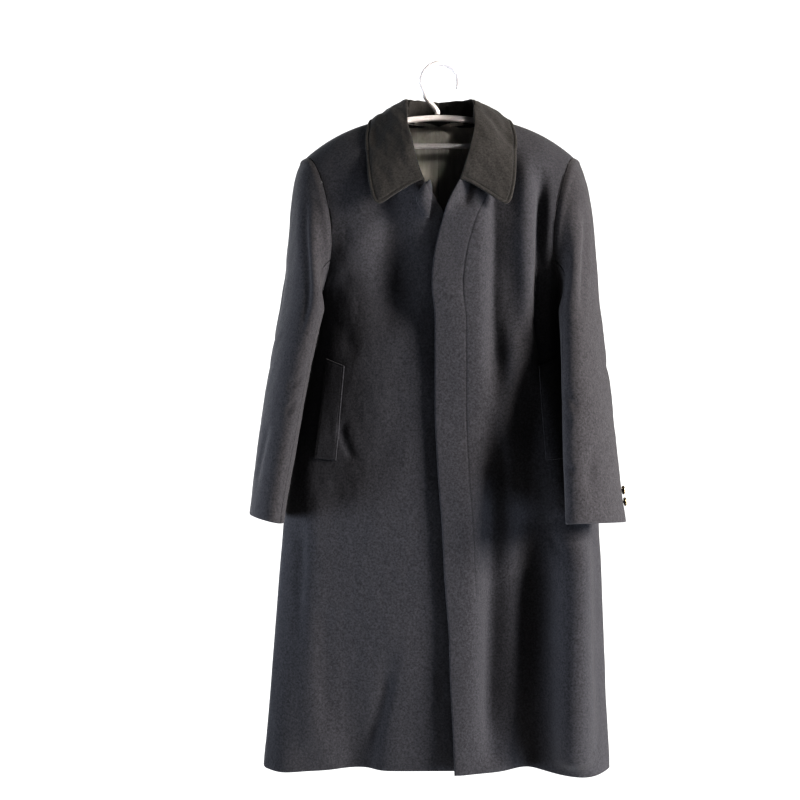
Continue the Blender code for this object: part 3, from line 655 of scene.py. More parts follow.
def finish(name, dark, light, grain, roughness, nap, sheen=0.0, metallic=0.0, stretch=(1, 1, 1)):
    """A finish whose colour wanders between two tones and whose surface is raised by a nap."""
    made = bpy.data.materials.new(name)
    made.use_nodes = True
    tree, nodes = made.node_tree, made.node_tree.nodes
    shader = with_inputs(
        nodes["Principled BSDF"], Roughness=roughness, Metallic=metallic, Sheen_Weight=sheen,
        Specular_IOR_Level=WOOL_SHINE if sheen else SMOOTH_SHINE, Sheen_Roughness=SHEEN_ROUGHNESS,
    )
    place = nodes.new("ShaderNodeTexCoord")
    scale = with_inputs(nodes.new("ShaderNodeMapping"), Scale=stretch)
    coarse = with_inputs(nodes.new("ShaderNodeTexNoise"), Scale=grain, Detail=COARSE_DETAIL)
    fine = with_inputs(nodes.new("ShaderNodeTexNoise"), Scale=grain * FINER, Detail=FINE_DETAIL)
    mixed = with_inputs(nodes.new("ShaderNodeMix"), Factor=0.5)
    tones = nodes.new("ShaderNodeValToRGB")
    for stop, at, tone in zip(tones.color_ramp.elements, TONE_STOPS, (dark, light)):
        stop.position, stop.color = at, (*tone, 1)
    raised = with_inputs(nodes.new("ShaderNodeBump"), Strength=RAISE, Distance=nap)
    join(
        tree,
        (place.outputs["Object"], scale.inputs["Vector"]),
        (scale.outputs["Vector"], coarse.inputs["Vector"]),
        (scale.outputs["Vector"], fine.inputs["Vector"]),
        (coarse.outputs["Fac"], mixed.inputs["A"]),
        (fine.outputs["Fac"], mixed.inputs["B"]),
        (mixed.outputs["Result"], tones.inputs["Fac"]),
        (mixed.outputs["Result"], raised.inputs["Height"]),
        (tones.outputs["Color"], shader.inputs["Base Color"]),
        (raised.outputs["Normal"], shader.inputs["Normal"]),
    )
    return made


# Grain, roughness, nap and sheen of the wool
MELTON = (300, 0.95, 0.0006, 0.06)
# The body, the sleeves and the collar are one cloth, painted in three tones. The body's tones lean
# blue: painted cool light, as on the skirt.
wool_body_painted_cool_light = finish("wool melton body", (0.0100, 0.0100, 0.0120), (0.0335, 0.0335, 0.0385), *MELTON)
# The sleeves' tones are lighter than the body's: painted light, for the light that they catch.
wool_sleeve_painted_light = finish(
    "wool melton sleeve", (0.0115, 0.0110, 0.0125), (0.0375, 0.0365, 0.0405), *MELTON
)
# The collar's tones are darker and warmer than the body's: painted shade and warm light.
wool_collar = finish(
    "wool melton collar", (0.0080, 0.0075, 0.0072), (0.0275, 0.0260, 0.0245), *MELTON
)
thread = finish(
    "wool coloured thread", (0.013, 0.013, 0.0145), (0.024, 0.024, 0.026), 900, 0.80, 0.0001, 0.04
)
satin = finish(
    "lining satin", (0.29, 0.275, 0.25), (0.38, 0.36, 0.33), 60, 0.42, 0.0002, stretch=(1, 1, 0.12)
)
brass = finish(
    "worn brass", (0.16, 0.12, 0.07), (0.36, 0.30, 0.20), 420, 0.36, 0.00008, metallic=1.0
)
plastic = finish(
    "moulded grey plastic", (0.43, 0.41, 0.41), (0.49, 0.47, 0.47), 90, 0.38, 0.00005
)
print("finishes:", len(bpy.data.materials))

# %% [markdown]
# ## Shaping a front or a back
# Each panel starts on the surface of its solid. The armhole ends at the underarm, which leaves a
# faint ledge across the chest at that height, so the rows near it are smoothed first. Then the
# creases and the unevenness move the points along their normals, and die away at the seams. The
# left front covers a fly: a hidden strip that holds the buttons, sewn on 52 mm from the edge. Its
# stitch line is a groove pressed into the wool.

# %% The shape of a panel
FLY = (LEFT, FRONT)
# Heights at which the fly's stitches start and end, with a fade at each, and their groove
FLY_TOP_Z, FLY_TOP_FADE, FLY_FOOT_Z, FLY_FOOT_FADE = -0.205, 0.01, -0.906, 0.004
FLY_GROOVE_WIDTH, FLY_GROOVE_DEPTH = 0.0016, 0.0008
# Columns of the left front, close together where the groove lies
FLY_COLUMNS = (
    *EDGE_LINES, *np.arange(0.0066, 0.0475, CELL),
    0.0490, 0.0506, 0.0514, FLY_WIDTH, 0.0526, 0.0534, 0.0550,
)
# Smoothing at the underarm: its reach in rows and its rounds
UNDERARM_REACH, UNDERARM_ROUNDS = 0.05, 40
# How near an edge the smoothing and the creases die away
SMOOTH_MARGIN, CREASE_MARGIN = 0.025, 0.030
# The top corner of the fly's edge curls outwards by this much, near the edge, at these heights
CORNER_CURL, CURL_WIDTH, CURL_HEIGHTS = 0.0095, 0.010, (-0.285, -0.250, -0.222, -0.200)


def shaped_panel(side, face):
    """A panel with its creases, its rows, and how far each point is from the inner edge."""
    points, rows = panel_grid(side, face, FLY_COLUMNS if (side, face) == FLY else EDGE_LINES)
    softly = bell(rows - ARMHOLE_END, UNDERARM_REACH)[:, None, None]
    softly = softly * ease(0.0, SMOOTH_MARGIN, edge_distance(points))[..., None]
    for _ in range(UNDERARM_ROUNDS):
        points[1:-1] += ((points[:-2] + points[2:]) / 2 - points[1:-1]) * softly[1:-1]
    normal, margin = normals(points, (0, face, 0)), edge_distance(points)
    from_edge = lengths_along(points, 1)
    points[..., 0] += side * SIDE_FULLNESS[side] * side_full(points)
    z = points[..., 2]
    rise = crease_depth(CREASES[side, face], side * points[..., 0], z)
    rise += uneven(points, BODY_SEED + 3 * side + face)
    if (side, face) == FLY:
        foot, top = FLY_FOOT_Z, FLY_TOP_Z
        sewn = window(z, foot - FLY_FOOT_FADE, foot + FLY_FOOT_FADE, top - FLY_TOP_FADE, top)
        rise -= FLY_GROOVE_DEPTH * sewn * bell(from_edge - FLY_WIDTH, FLY_GROOVE_WIDTH)
    rise = rise * ease(0.0, CREASE_MARGIN, margin)
    if (side, face) == FLY:
        rise += CORNER_CURL * window(z, *CURL_HEIGHTS) * bell(from_edge, CURL_WIDTH)
    return points + normal * rise[..., None], rows, from_edge


# %% [markdown]
# ## Fronts and backs
# At a seam both pieces are drawn into the coat the same way, so that their edges meet. The front
# edges and the hem are thicker than the rest, because the cloth is turned in and a facing lies
# behind it. A coat is lined all the way up, but thin gaps stay in the armhole seams here, and
# pale satin would show in them. So the satin covers only the inside below the height given, and
# the inside above it is wool. Only the backs, which are seen in the neck, have a lining piece.

# %% Dressing the panels
# Depth of the hem and of the facings behind the front edges, and how each ends
HEM_DEPTH, HEM_FADE, FACING_WIDTH, FACING_FADE = 0.042, 0.006, 0.090, (0.030, 0.046)
# How much thicker the turned-in cloth is, and the height below which the satin starts
TURNED_IN, LINING_TOP_Z = 0.0020, -0.62
# How far in a seam and a free edge are rounded, and how near the cloth counts as a free edge
SEAM_TURN, EDGE_TURN, EDGE_ZONE = 0.0017, 0.0030, 0.012
# Rows below the underarm in which the way into the coat turns from the armhole's to the side's
UNDERARM_TURN = 0.03
# Width and length of each panel's cut before it was sewn, and the share of them that is cloth
CUT = {FRONT: (0.47, 1.19, 0.66), BACK: (0.37, 1.17, 0.74)}


def panel_seams(side, face, points, rows, from_edge):
    """The way into the coat at a panel's seams, as long as the seam holds each point."""
    by_side, by_top = hold(from_edge[:, -1:] - from_edge), hold(lengths_along(points, 0))
    below_arm = ease(ARMHOLE_END, ARMHOLE_END + UNDERARM_TURN, rows)[:, None, None]
    sides = armhole_inward(points) * (1 - below_arm) + below_arm * [-side, 0.0, 0.0]
    seam = np.where(by_top > by_side, [0, 0, -1.0] * by_top, sides * by_side)
    if face == BACK:
        by_centre = (rows > NECK_ROW)[:, None, None] * hold(from_edge)
        seam = np.where(by_centre > by_side, [0, -1.0, 0] * by_centre, seam)
    return seam


def panel_edges(face, points, from_edge):
    """A panel's thickness, how far its edges are rounded, and where its inside is satin."""
    hem = lengths_back(points, 0)
    turned_in = 1 - ease(HEM_DEPTH - HEM_FADE, HEM_DEPTH, hem)
    free, lined = hem < EDGE_ZONE, (hem > HEM_DEPTH) & (points[..., 2] < LINING_TOP_Z)
    if face == FRONT:
        turned_in = np.maximum(turned_in, 1 - ease(*FACING_FADE, from_edge))
        free, lined = free | (from_edge < EDGE_ZONE), lined & (from_edge > FACING_WIDTH)
    return WOOL + TURNED_IN * turned_in, np.where(free, EDGE_TURN, SEAM_TURN), lined


grids = {}
for side in (RIGHT, LEFT):
    for face in (FRONT, BACK):
        points, rows, from_edge = shaped_panel(side, face)
        wall, turn, lined = panel_edges(face, points, from_edge)
        seam = panel_seams(side, face, points, rows, from_edge)
        name, cloth = f"{PANEL[face]}_{HAND[side]}", (wool_body_painted_cool_light, satin)
        panel = shell(f"wool_{name}", points, (0, face, 0), wall, turn, cloth, lined, seam)
        width, length, share = CUT[face]
        dress(panel, name)
        grids[side, face] = points
back_rows = rows

# %% [markdown]
# ## Sleeves
# A tailored sleeve is two tubes' halves: a wide top sleeve and a narrow under sleeve, sewn along
# the fore and hind arm. It is drawn as an oval that turns and swings forward towards the cuff, and
# its cap then bends over to the armhole. The tables are again the ones of the solids.

# %% The sleeve's tables
# Height, centre x, centre y, half length front to hind, half thickness, turn of the front edge
SLEEVE = {
    RIGHT: (
        (-0.430, 0.2395, -0.022, 0.084, 0.0330, 20),
        (-0.495, 0.2520, -0.032, 0.079, 0.0320, 19),
        (-0.578, 0.2655, -0.044, 0.074, 0.0310, 18),
        (-0.661, 0.2770, -0.055, 0.070, 0.0300, 16),
        (-0.744, 0.2885, -0.066, 0.067, 0.0280, 15),
        (-0.776, 0.2920, -0.070, 0.066, 0.0275, 15),
    ),
    LEFT: (
        (-0.430, 0.2390, -0.026, 0.084, 0.0330, 20),
        (-0.495, 0.2400, -0.050, 0.079, 0.0330, 24),
        (-0.578, 0.2420, -0.078, 0.074, 0.0330, 31),
        (-0.661, 0.2435, -0.102, 0.071, 0.0320, 38),
        (-0.744, 0.2475, -0.118, 0.070, 0.0310, 44),
        (-0.778, 0.2495, -0.123, 0.070, 0.0300, 47),
    ),
}
CAP_Z = -0.430
CUFF_Z = {RIGHT: -0.776, LEFT: -0.778}
CUFF_FALL = {RIGHT: (0.22, 0.06), LEFT: (0.03, 0.10)}
# Place from underarm to shoulder tip, outward, forward, down, how far the sleeve's line carries up
CAP_SWEEP = (
    (0.00, 0.020, 0.000, 0.030, 0.030),
    (0.12, 0.020, 0.020, 0.050, 0.040),
    (0.25, 0.060, 0.035, 0.075, 0.075),
    (0.50, 0.130, 0.060, 0.060, 0.155),
    (0.75, 0.150, 0.035, 0.070, 0.220),
    (1.00, 0.112, 0.000, 0.080, 0.285),
)
FORE_SEAM, HIND_SEAM = 60, -75
SEAM_INSET = 0.25

# %% [markdown]
# ## The sleeve surface
# The angle runs round the arm: 0 beside the body, 90 at the front edge and 180 on the outer side.
# The row runs from the cuff at -1, over the foot of the cap at 0, to the armhole at 1.

# %% Points of a sleeve
# A small step down the tube, which gives the direction in which the cap leaves it
DOWN_STEP = 0.02


def tube_point(side, angle, height):
    """Points round a sleeve's tube, from an angle and a height."""
    x, y, length, thick, turn = np.moveaxis(through(SLEEVE[side], height), -1, 0)
    turn, angle = np.radians(turn), np.radians(angle)
    off_x = -np.cos(turn) * thick * np.cos(angle) - np.sin(turn) * length * np.sin(angle)
    off_y = np.sin(turn) * thick * np.cos(angle) - np.cos(turn) * length * np.sin(angle)
    to_body, to_hind = CUFF_FALL[side]
    down = np.clip((CAP_Z - height) / (CAP_Z - CUFF_Z[side]), 0, 1)
    fall = down * (to_body * off_x - to_hind * off_y)
    return np.stack([side * (x + off_x), y + off_y, height + fall], -1)


def from_underarm(angle):
    """How far round the armhole from the underarm, up to 180 at the shoulder tip."""
    angle = np.mod(angle, 360)
    return np.where(angle <= 180, angle, 360 - angle)


def cap_points(side, angle, share):
    """Points of the cap, from its lower end 0 to the armhole 1."""
    angle, there = np.mod(angle, 360), from_underarm(angle)
    in_front = angle <= 180
    outward, forward, down, lift = np.moveaxis(through(CAP_SWEEP, there / 180), -1, 0)
    leaving = np.stack([side * outward, np.where(in_front, FRONT, BACK) * forward, -down], -1)
    seam = np.where(in_front[..., None], armhole(side, FRONT, there), armhole(side, BACK, there))
    end = seam + unit(leaving) * SEAM_GAP
    start = tube_point(side, angle, np.full(angle.shape, CAP_Z))
    rise = start - tube_point(side, angle, np.full(angle.shape, CAP_Z - DOWN_STEP))
    return bend(start, end, unit(rise) * lift[..., None], -leaving, share)


def sleeve_surface(side, angle, row):
    """Points of a sleeve, by angle and by row from the cuff -1 to the armhole 1."""
    angle, row = np.broadcast_arrays(np.asarray(angle, float), np.asarray(row, float))
    low = tube_point(side, angle, CAP_Z + (CAP_Z - CUFF_Z[side]) * np.minimum(row, 0))
    return np.where((row > 0)[..., None], cap_points(side, angle, np.maximum(row, 0)), low)


# %% [markdown]
# ## Creases of the sleeves
# An arm bends at the elbow and swings at the shoulder, and the wool remembers both. Here the path
# of a crease is given round the arm, in degrees, and down it, in metres. One millimetre round the
# arm is close to one degree, so the same function draws them.

# %% Sleeve creases
DEGREE = 0.00115
# Angle and height at the start and the end, bow, width, depth
SLEEVE_CREASES = {
    RIGHT: (
        (132, -0.215, 108, -0.490, 0.004, 0.011, -0.0055),
        (70, -0.535, 122, -0.556, 0.004, 0.008, -0.0030),
        (66, -0.572, 108, -0.604, -0.004, 0.008, -0.0026),
        (200, -0.330, 214, -0.520, 0.005, 0.014, -0.0045),
        (236, -0.470, 196, -0.560, 0.006, 0.011, -0.0036),
        (248, -0.540, 206, -0.610, 0.005, 0.010, -0.0030),
        (150, -0.610, 166, -0.730, -0.003, 0.013, -0.0028),
    ),
    LEFT: (
        (142, -0.240, 120, -0.450, 0.006, 0.012, -0.0045),
        (62, -0.676, 112, -0.690, 0.003, 0.006, -0.0036),
        (72, -0.560, 118, -0.590, 0.004, 0.009, -0.0030),
        (64, -0.600, 100, -0.622, -0.003, 0.008, -0.0024),
        (206, -0.320, 216, -0.500, 0.004, 0.014, -0.0044),
        (240, -0.480, 200, -0.556, 0.006, 0.011, -0.0034),
        (150, -0.640, 140, -0.750, 0.004, 0.013, -0.0026),
    ),
}
SLEEVE_CELL = 0.0046
# Metres of cloth down the tube and up the cap, the rows of each, and where even rows start
TUBE_RUN, CAP_RUN, TUBE_ROWS, CAP_ROWS, ROWS_FROM = 0.35, 0.20, 76, 56, 0.009
FINE_ANGLES = 181


def sleeve_grid(side, first, last):
    """The fine grid of a half sleeve between two seams, with columns at even distances."""
    even_low, even_high = np.linspace(-1 + ROWS_FROM, 0, TUBE_ROWS), np.linspace(0, 1, CAP_ROWS)
    low = np.concatenate([-1 + EDGE_LINES[:-1] / TUBE_RUN, even_low])
    high = np.concatenate([even_high[1:-1], 1 - EDGE_LINES[::-1] / CAP_RUN])
    rows = np.unique(np.round(np.concatenate([low, high]), 6))
    dense = np.linspace(first + SEAM_INSET, last - SEAM_INSET, FINE_ANGLES)
    measured = lengths_along(sleeve_surface(side, dense[None, :], rows[:, None]), 1)
    widest = measured[:, -1].max()
    lines = spread(widest, EDGE_LINES, EDGE_LINES, SLEEVE_CELL)
    rim = widest - lines
    angles = []
    for line in measured:
        wanted, quarter = lines * line[-1] / widest, line[-1] / 4
        wanted = np.where(lines <= EDGE_LINES[-1], np.minimum(lines, quarter), wanted)
        wanted = np.where(rim <= EDGE_LINES[-1], line[-1] - np.minimum(rim, quarter), wanted)
        angles.append(np.interp(np.maximum.accumulate(wanted), line, dense))
    angles = np.array(angles)
    return sleeve_surface(side, angles, rows[:, None]), angles


# %% [markdown]
# ## Dressing the sleeves
# The cap is eased into the armhole, so it stands a little proud there: a soft ridge all along the
# sleeve head. The cuff is turned in like the hem, and is thicker for its last 40 mm.

# %% Top and under sleeves
# Height of the ridge along the sleeve head, its width, its distance from the seam, and the turns
# between which it comes up
HEAD_RIDGE, HEAD_WIDTH, HEAD_IN, HEAD_TURNS = 0.0022, 0.006, 0.009, (40, 110)
CUFF_HEM, CUFF_TURNED_IN, CUFF_ZONE, SLEEVE_MARGIN = 0.040, 0.0016, 0.010, 0.024
SLEEVE_WAVE, SLEEVE_HEIGHT = 0.11, 0.0005
# The two seams that bound each half, and the width and length of its cut
SLEEVE_HALVES = {
    "top": (FORE_SEAM, 360 + HIND_SEAM, 0.30, 0.68),
    "under": (HIND_SEAM, FORE_SEAM, 0.20, 0.50),
}
for side in (RIGHT, LEFT):
    table = SLEEVE_CREASES[side]
    paths = [(a0 * DEGREE, z0, a1 * DEGREE, z1, *shape) for a0, z0, a1, z1, *shape in table]
    for part, (first, last, width, length) in SLEEVE_HALVES.items():
        outward = (side, -1, 0) if part == "top" else (-side, 1, 0)
        points, angles = sleeve_grid(side, first, last)
        to_armhole = lengths_back(points, 0)
        seed = SLEEVE_SEED + 5 * side + len(part)
        rise = crease_depth(paths, angles * DEGREE, points[..., 2])
        rise = rise + uneven(points, seed, SLEEVE_WAVE, SLEEVE_HEIGHT)
        rise = rise * ease(0.0, SLEEVE_MARGIN, edge_distance(points))
        on_head = ease(*HEAD_TURNS, from_underarm(angles))
        rise = rise + HEAD_RIDGE * on_head * bell(to_armhole - HEAD_IN, HEAD_WIDTH)
        points = points + normals(points, outward) * rise[..., None]
        from_cuff = lengths_along(points, 0)
        wall = WOOL + CUFF_TURNED_IN * (1 - ease(CUFF_HEM - HEM_FADE, CUFF_HEM, from_cuff))
        turn = np.where(from_cuff < CUFF_ZONE, EDGE_TURN, SEAM_TURN)
        lined = (from_cuff > CUFF_HEM) & (points[..., 2] < LINING_TOP_Z)
        seam = armhole_inward(points) * hold(to_armhole)
        name, cloth = f"sleeve_{HAND[side]}_{part}", (wool_sleeve_painted_light, satin)
        sleeve = shell(f"wool_{name}", points, outward, wall, turn, cloth, lined, seam)
        dress(sleeve, name)

# %% [markdown]
# ## The collar
# A turn-down collar rises from the neck seam as a stand, rolls over, and falls as a leaf on the
# shoulders. It could be a bent plane, but its roll line and outer edge are what the eye reads. So
# both are rows of a guide table, and each rib of the collar is a smooth curve through them. Its
# leaves reach about 10 mm lower in front than the solid's do.

# %% The collar's guide
COLLAR_WALL, COLLAR_GAP, COLLAR_TURN = 0.0035, 0.0006, 0.0026
# How far the stand starts above the seam, and how far it leans in over it
COLLAR_LIFT, COLLAR_LEAN = 0.0006, 0.1
NECK_POINT_PLACE = 0.40
# Place from the centre back to the front end, roll line x, y, z, outer edge x, y, z
COLLAR_GUIDE = (
    (0.00, 0.000, 0.066, -0.047, 0.000, 0.096, -0.112),
    (0.20, 0.036, 0.053, -0.048, 0.066, 0.086, -0.114),
    (0.40, 0.058, 0.002, -0.057, 0.122, 0.004, -0.094),
    (0.60, 0.0585, -0.054, -0.104, 0.127, -0.050, -0.145),
    (0.80, 0.0475, -0.089, -0.162, 0.123, -0.092, -0.205),
    (1.00, 0.031, -0.104, -0.216, 0.111, -0.113, -0.263),
)
STAND_SHARE = 0.30
# Small steps across and down a panel, which give its directions at the neck
BESIDE_STEP, AHEAD_STEP = 0.03, 0.002
# How much the cloth falls where it rolls over, and how strongly each curve keeps its direction
ROLL_FALL, ROLL_PULL, LEAF_PULL, EDGE_PULL = 0.25, 0.9, 0.6, 1.1


def neck_seam(side, place):
    """Along half the neck: the seam's points, the way out of the cloth and the way off the neck."""
    behind = place < NECK_POINT_PLACE
    back_row = NECK_ROW * np.clip((NECK_POINT_PLACE - place) / NECK_POINT_PLACE, 0, 1)
    front_row = COLLAR_END_ROW * np.clip((place - NECK_POINT_PLACE) / (1 - NECK_POINT_PLACE), 0, 1)
    found = []
    for face, row in ((BACK, back_row), (FRONT, front_row)):
        here = panel_surface(side, face, np.zeros_like(row), row)
        beside = panel_surface(side, face, np.full_like(row, BESIDE_STEP), row)
        ahead = panel_surface(side, face, np.zeros_like(row), row + AHEAD_STEP)
        along = unit(ahead - here)
        away = beside - here
        away = unit(away - along * (along * away).sum(-1, keepdims=True))
        normal = np.cross(along, away)
        normal = normal * np.where(normal[:, 2:] < 0, -1, 1)
        found.append((here, normal, away))
    return [np.where(behind[:, None], a, b) for a, b in zip(*found)]


def collar_rib(side, place, share):
    """Points of the collar's upper face: 0 at the seam, STAND_SHARE on the roll, 1 at the edge."""
    seam, normal, away = neck_seam(side, place)
    guide = through(COLLAR_GUIDE, place)
    roll, edge = guide[:, :3] * [side, 1, 1], guide[:, 3:] * [side, 1, 1]
    seam = seam + np.where((place > NECK_POINT_PLACE)[:, None], normal, [0, 0, 1]) * COLLAR_LIFT
    up = unit(roll - seam)
    up = unit(up - away * np.maximum(0, (up * away).sum(-1, keepdims=True) + COLLAR_LEAN))
    over = unit((edge - roll) * [1, 1, ROLL_FALL])
    height = np.linalg.norm(roll - seam, axis=-1, keepdims=True)
    width = np.linalg.norm(edge - roll, axis=-1, keepdims=True)
    raised = np.clip(share / STAND_SHARE, 0, 1)
    stand = bend(seam, roll, up * height, over * height * ROLL_PULL, raised)
    fall = unit(edge - roll)
    there = np.clip((share - STAND_SHARE) / (1 - STAND_SHARE), 0, 1)
    leaf = bend(roll, edge, over * width * LEAF_PULL, fall * width * EDGE_PULL, there)
    return np.where((share < STAND_SHARE)[:, None], stand, leaf)


# %% [markdown]
# ## Laying the collar down
# The leaf must rest on the shoulders without sinking in. A BVH tree answers which spot of the
# panels is nearest to a point, and each point that is too low is lifted until it clears the cloth.
# The corners of the leaf are rounded first, as a sewn point is once it is turned out.

# %% Resting one cloth on another
# Rounds of lifting at most, a lift that is small enough to stop at, and rounds of softening it
REST_ROUNDS, REST_ENOUGH, REST_SOFTENING = 4, 5e-5, 2


def tree_of(*grid_list):
    """A search tree over the faces of some grids."""
    points, faces = [], []
    for grid in grid_list:
        faces += cells(numbered(*grid.shape[:2], first=len(points))).tolist()
        points += grid.reshape(-1, 3).tolist()
    return BVHTree.FromPolygons(points, faces)


def rest_on(points, below, out, clear):
    """Lifts points along `out` until each is `clear` above the nearest spot of the cloth below."""
    laid = points.copy()
    for _ in range(REST_ROUNDS):
        lift = np.zeros(laid.shape[:-1])
        for spot in np.ndindex(*lift.shape):
            near = below.find_nearest(Vector(laid[spot]))[0]
            lift[spot] = max(0.0, clear - (laid[spot] - np.array(near)) @ out[spot])
        if lift.max() < REST_ENOUGH:
            break
        for _ in range(REST_SOFTENING):
            soft = np.pad(lift, 1, mode="edge")
            soft = (soft[:-2, 1:-1] + soft[2:, 1:-1] + soft[1:-1, :-2] + soft[1:-1, 2:]) / 4
            lift = np.maximum(lift, soft)
        laid += out * lift[..., None]
    return laid


# %% Half a collar
# Metres of cloth to one unit of place, along the collar and close to its end, and the widths of
# the stand and the leaf
HALF_RUN, END_RUN, STAND_RUN, LEAF_RUN = 0.28, 0.185, 0.040, 0.085
TIP_RADIUS = 0.013


def collar_half(side, places, shares):
    """Half the collar, with the corner of its leaf rounded in the flat before it is bent."""
    place, share = np.meshgrid(places, shares, indexing="ij")
    by_end, by_edge = TIP_RADIUS / END_RUN, TIP_RADIUS / LEAF_RUN * (1 - STAND_SHARE)
    a = np.clip((place - (1 - by_end)) / by_end, 0, 1)
    b = np.clip((share - (1 - by_edge)) / by_edge, 0, 1)
    at_tip = (a > 0) & (b > 0)
    place = np.where(at_tip, 1 - by_end + by_end * a * np.sqrt(1 - b * b / 2), place)
    share = np.where(at_tip, 1 - by_edge + by_edge * b * np.sqrt(1 - a * a / 2), share)
    return collar_rib(side, place.reshape(-1), share.reshape(-1)).reshape(*place.shape, 3)


# %% The collar laid on the shoulders
# Distance of the stitches from the edge, and the groove that they press
STITCH_IN, COLLAR_GROOVE, COLLAR_GROOVE_WIDTH = 0.0062, 0.0009, 0.0013
OUTER_LINES = (
    0.0072, STITCH_IN + 0.0005, STITCH_IN, STITCH_IN - 0.0005, 0.0052, 0.0041, *EDGE_LINES[::-1]
)
# Even columns and rows between the ones close to an edge: how many, where the rows start, and
# how far from the edge they end
EVEN_PLACES, EVEN_SHARES, SHARES_FROM, ENDS_BEFORE = 84, 40, 0.03, (0.0082, 0.0080)
# Share beyond the roll from which the leaf lies on the coat, and rows whose ends aren't stitched
REST_BEYOND, UNSEWN_ROWS = 0.12, 14
COLLAR_WAVE, COLLAR_HEIGHT, COLLAR_MARGIN = 0.07, 0.0009, 0.02
leaf_run = LEAF_RUN / (1 - STAND_SHARE)
places = np.concatenate([
    np.linspace(0, 1 - ENDS_BEFORE[0] / HALF_RUN, EVEN_PLACES), 1 - np.array(OUTER_LINES) / HALF_RUN
])
shares = np.concatenate([
    EDGE_LINES / STAND_RUN * STAND_SHARE,
    np.linspace(SHARES_FROM, 1 - ENDS_BEFORE[1] / leaf_run, EVEN_SHARES),
    1 - np.array(OUTER_LINES) / leaf_run,
])
right, left = (collar_half(side, places, shares) for side in (RIGHT, LEFT))
middle = (right[:1] + left[:1]) / 2
collar_grid = np.concatenate([right[:0:-1], middle, left[1:]]).transpose(1, 0, 2)
out = normals(collar_grid, UP)
leaf = shares > STAND_SHARE + REST_BEYOND
clear = COLLAR_WALL + COLLAR_GAP
collar_grid[leaf] = rest_on(collar_grid[leaf], tree_of(*grids.values()), out[leaf], clear)
from_end = np.minimum(lengths_along(collar_grid, 1), lengths_back(collar_grid, 1))
with_ends = np.arange(len(shares))[:, None] > len(EDGE_LINES) + UNSEWN_ROWS
sewn = np.minimum(lengths_back(collar_grid, 0), np.where(with_ends, from_end, 1))
rise = uneven(collar_grid, COLLAR_SEED, COLLAR_WAVE, COLLAR_HEIGHT)
rise = rise * ease(0.0, COLLAR_MARGIN, edge_distance(collar_grid))
rise = rise - COLLAR_GROOVE * bell(sewn - STITCH_IN, COLLAR_GROOVE_WIDTH)
collar_grid = collar_grid + normals(collar_grid, UP) * rise[..., None]
collar = shell("wool_collar", collar_grid, UP, COLLAR_WALL, COLLAR_TURN, (wool_collar,))
below = [f"wool_{PANEL[face]}_{HAND[side]}" for face in (BACK, FRONT) for side in (LEFT, RIGHT)]
dress(collar, "collar")

# %% [markdown]
# ## The lining
# The photograph looks down into the neck and shows grey satin, pleated down the centre so that the
# shoulders can move. It follows the backs a little way inside them, and its soft puckers are
# drawn as shallow vertical ripples, which die out towards the seams.

# %% Satin lining of the backs
LINING_WALL, LINING_GAP, LINING_TURN = 0.001, 0.0005, 0.0012
LINING_TOP_ROW, LINING_FOOT_ROW = 0.02167, 0.445
# The centre pleat: depth, width, how softly it ends, and the rows over which it starts
PLEAT_DEPTH, PLEAT_WIDTH, PLEAT_FADE, PLEAT_ROWS = 0.003, 0.005, 0.014, (0.085, 0.120)
# How far the lining is raised into the neck, and the rows over which that ends
NECK_FACING, FACING_ROWS = 0.0075, (0.080, 0.112)
# How far a pucker sways sideways, how often down its length, and how its place shifts the waves
SWAY, SWAY_OFTEN, SWAY_SHIFT = 0.004, 31, 90
# How softly a pucker ends at its foot, below its top and above its top
PUCKER_FADES = (0.03, 0.01, 0.012)
# Distance from the centre, height at the top and the foot, width, depth
PUCKERS = (
    (0.016, -0.095, -0.190, 0.0040, 0.0016),
    (0.027, -0.100, -0.230, 0.0050, 0.0021),
    (0.041, -0.098, -0.175, 0.0045, 0.0014),
    (0.055, -0.110, -0.260, 0.0060, 0.0020),
    (0.073, -0.130, -0.300, 0.0070, 0.0018),
)
for side in (RIGHT, LEFT):
    name, back = f"lining_back_{HAND[side]}", grids[side, BACK]
    covered = (back_rows >= LINING_TOP_ROW) & (back_rows <= LINING_FOOT_ROW)
    half_width = np.abs(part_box(name)).max(axis=0)[0]
    reach = np.abs(back[covered][..., 0]).max(axis=0) <= half_width
    inside = back - normals(back, (0, BACK, 0)) * (WOOL + LINING_GAP + LINING_WALL)
    points = inside[covered][:, reach]
    row = np.broadcast_to(back_rows[covered][:, None], points.shape[:2])
    off, z = np.abs(points[..., 0]), points[..., 2]
    centre = ease(*PLEAT_ROWS, row)
    points[..., 1] -= centre * PLEAT_DEPTH * (1 - ease(PLEAT_WIDTH, PLEAT_WIDTH + PLEAT_FADE, off))
    for x, top, foot, width, depth in PUCKERS:
        sway = SWAY * np.sin(z * SWAY_OFTEN + x * SWAY_SHIFT + side)
        at_foot, below, above = PUCKER_FADES
        fade = window(z, foot - at_foot, foot + at_foot, top - below, top + above)
        points[..., 1] -= depth * fade * bell(off - x - sway, width)
    by_neck = 1 - ease(0, NECK_FACING * 2, lengths_along(points, 1))
    points[..., 2] += NECK_FACING * by_neck * (1 - ease(*FACING_ROWS, row))
    points[:, 0, 0] = np.where(centre[:, 0] > 0.5, side * SEAM_GAP / 2, points[:, 0, 0])
    lining = shell(f"satin_{name}", points, FORWARD, LINING_WALL, LINING_TURN, (satin,))
    dress(lining, name)

# %% [markdown]
# ## Pocket welts
# A welt is a strip of wool, folded over and sewn on aslant, whose outer long edge is the pocket's
# mouth. It lies on the front, so a ray is cast onto the front for each of its points, and the
# strip is laid there. Rows of topstitching hold its two long edges down.

# %% Welts on the fronts
# x and height of the corners: mouth edge top and foot, sewn edge top and foot
WELT_CORNERS = np.array(((0.1928, -0.508), (0.2133, -0.676), (0.1611, -0.521), (0.1754, -0.679)))
WELT_WALL, WELT_GAP, WELT_TURN = 0.003, 0.0007, 0.0018
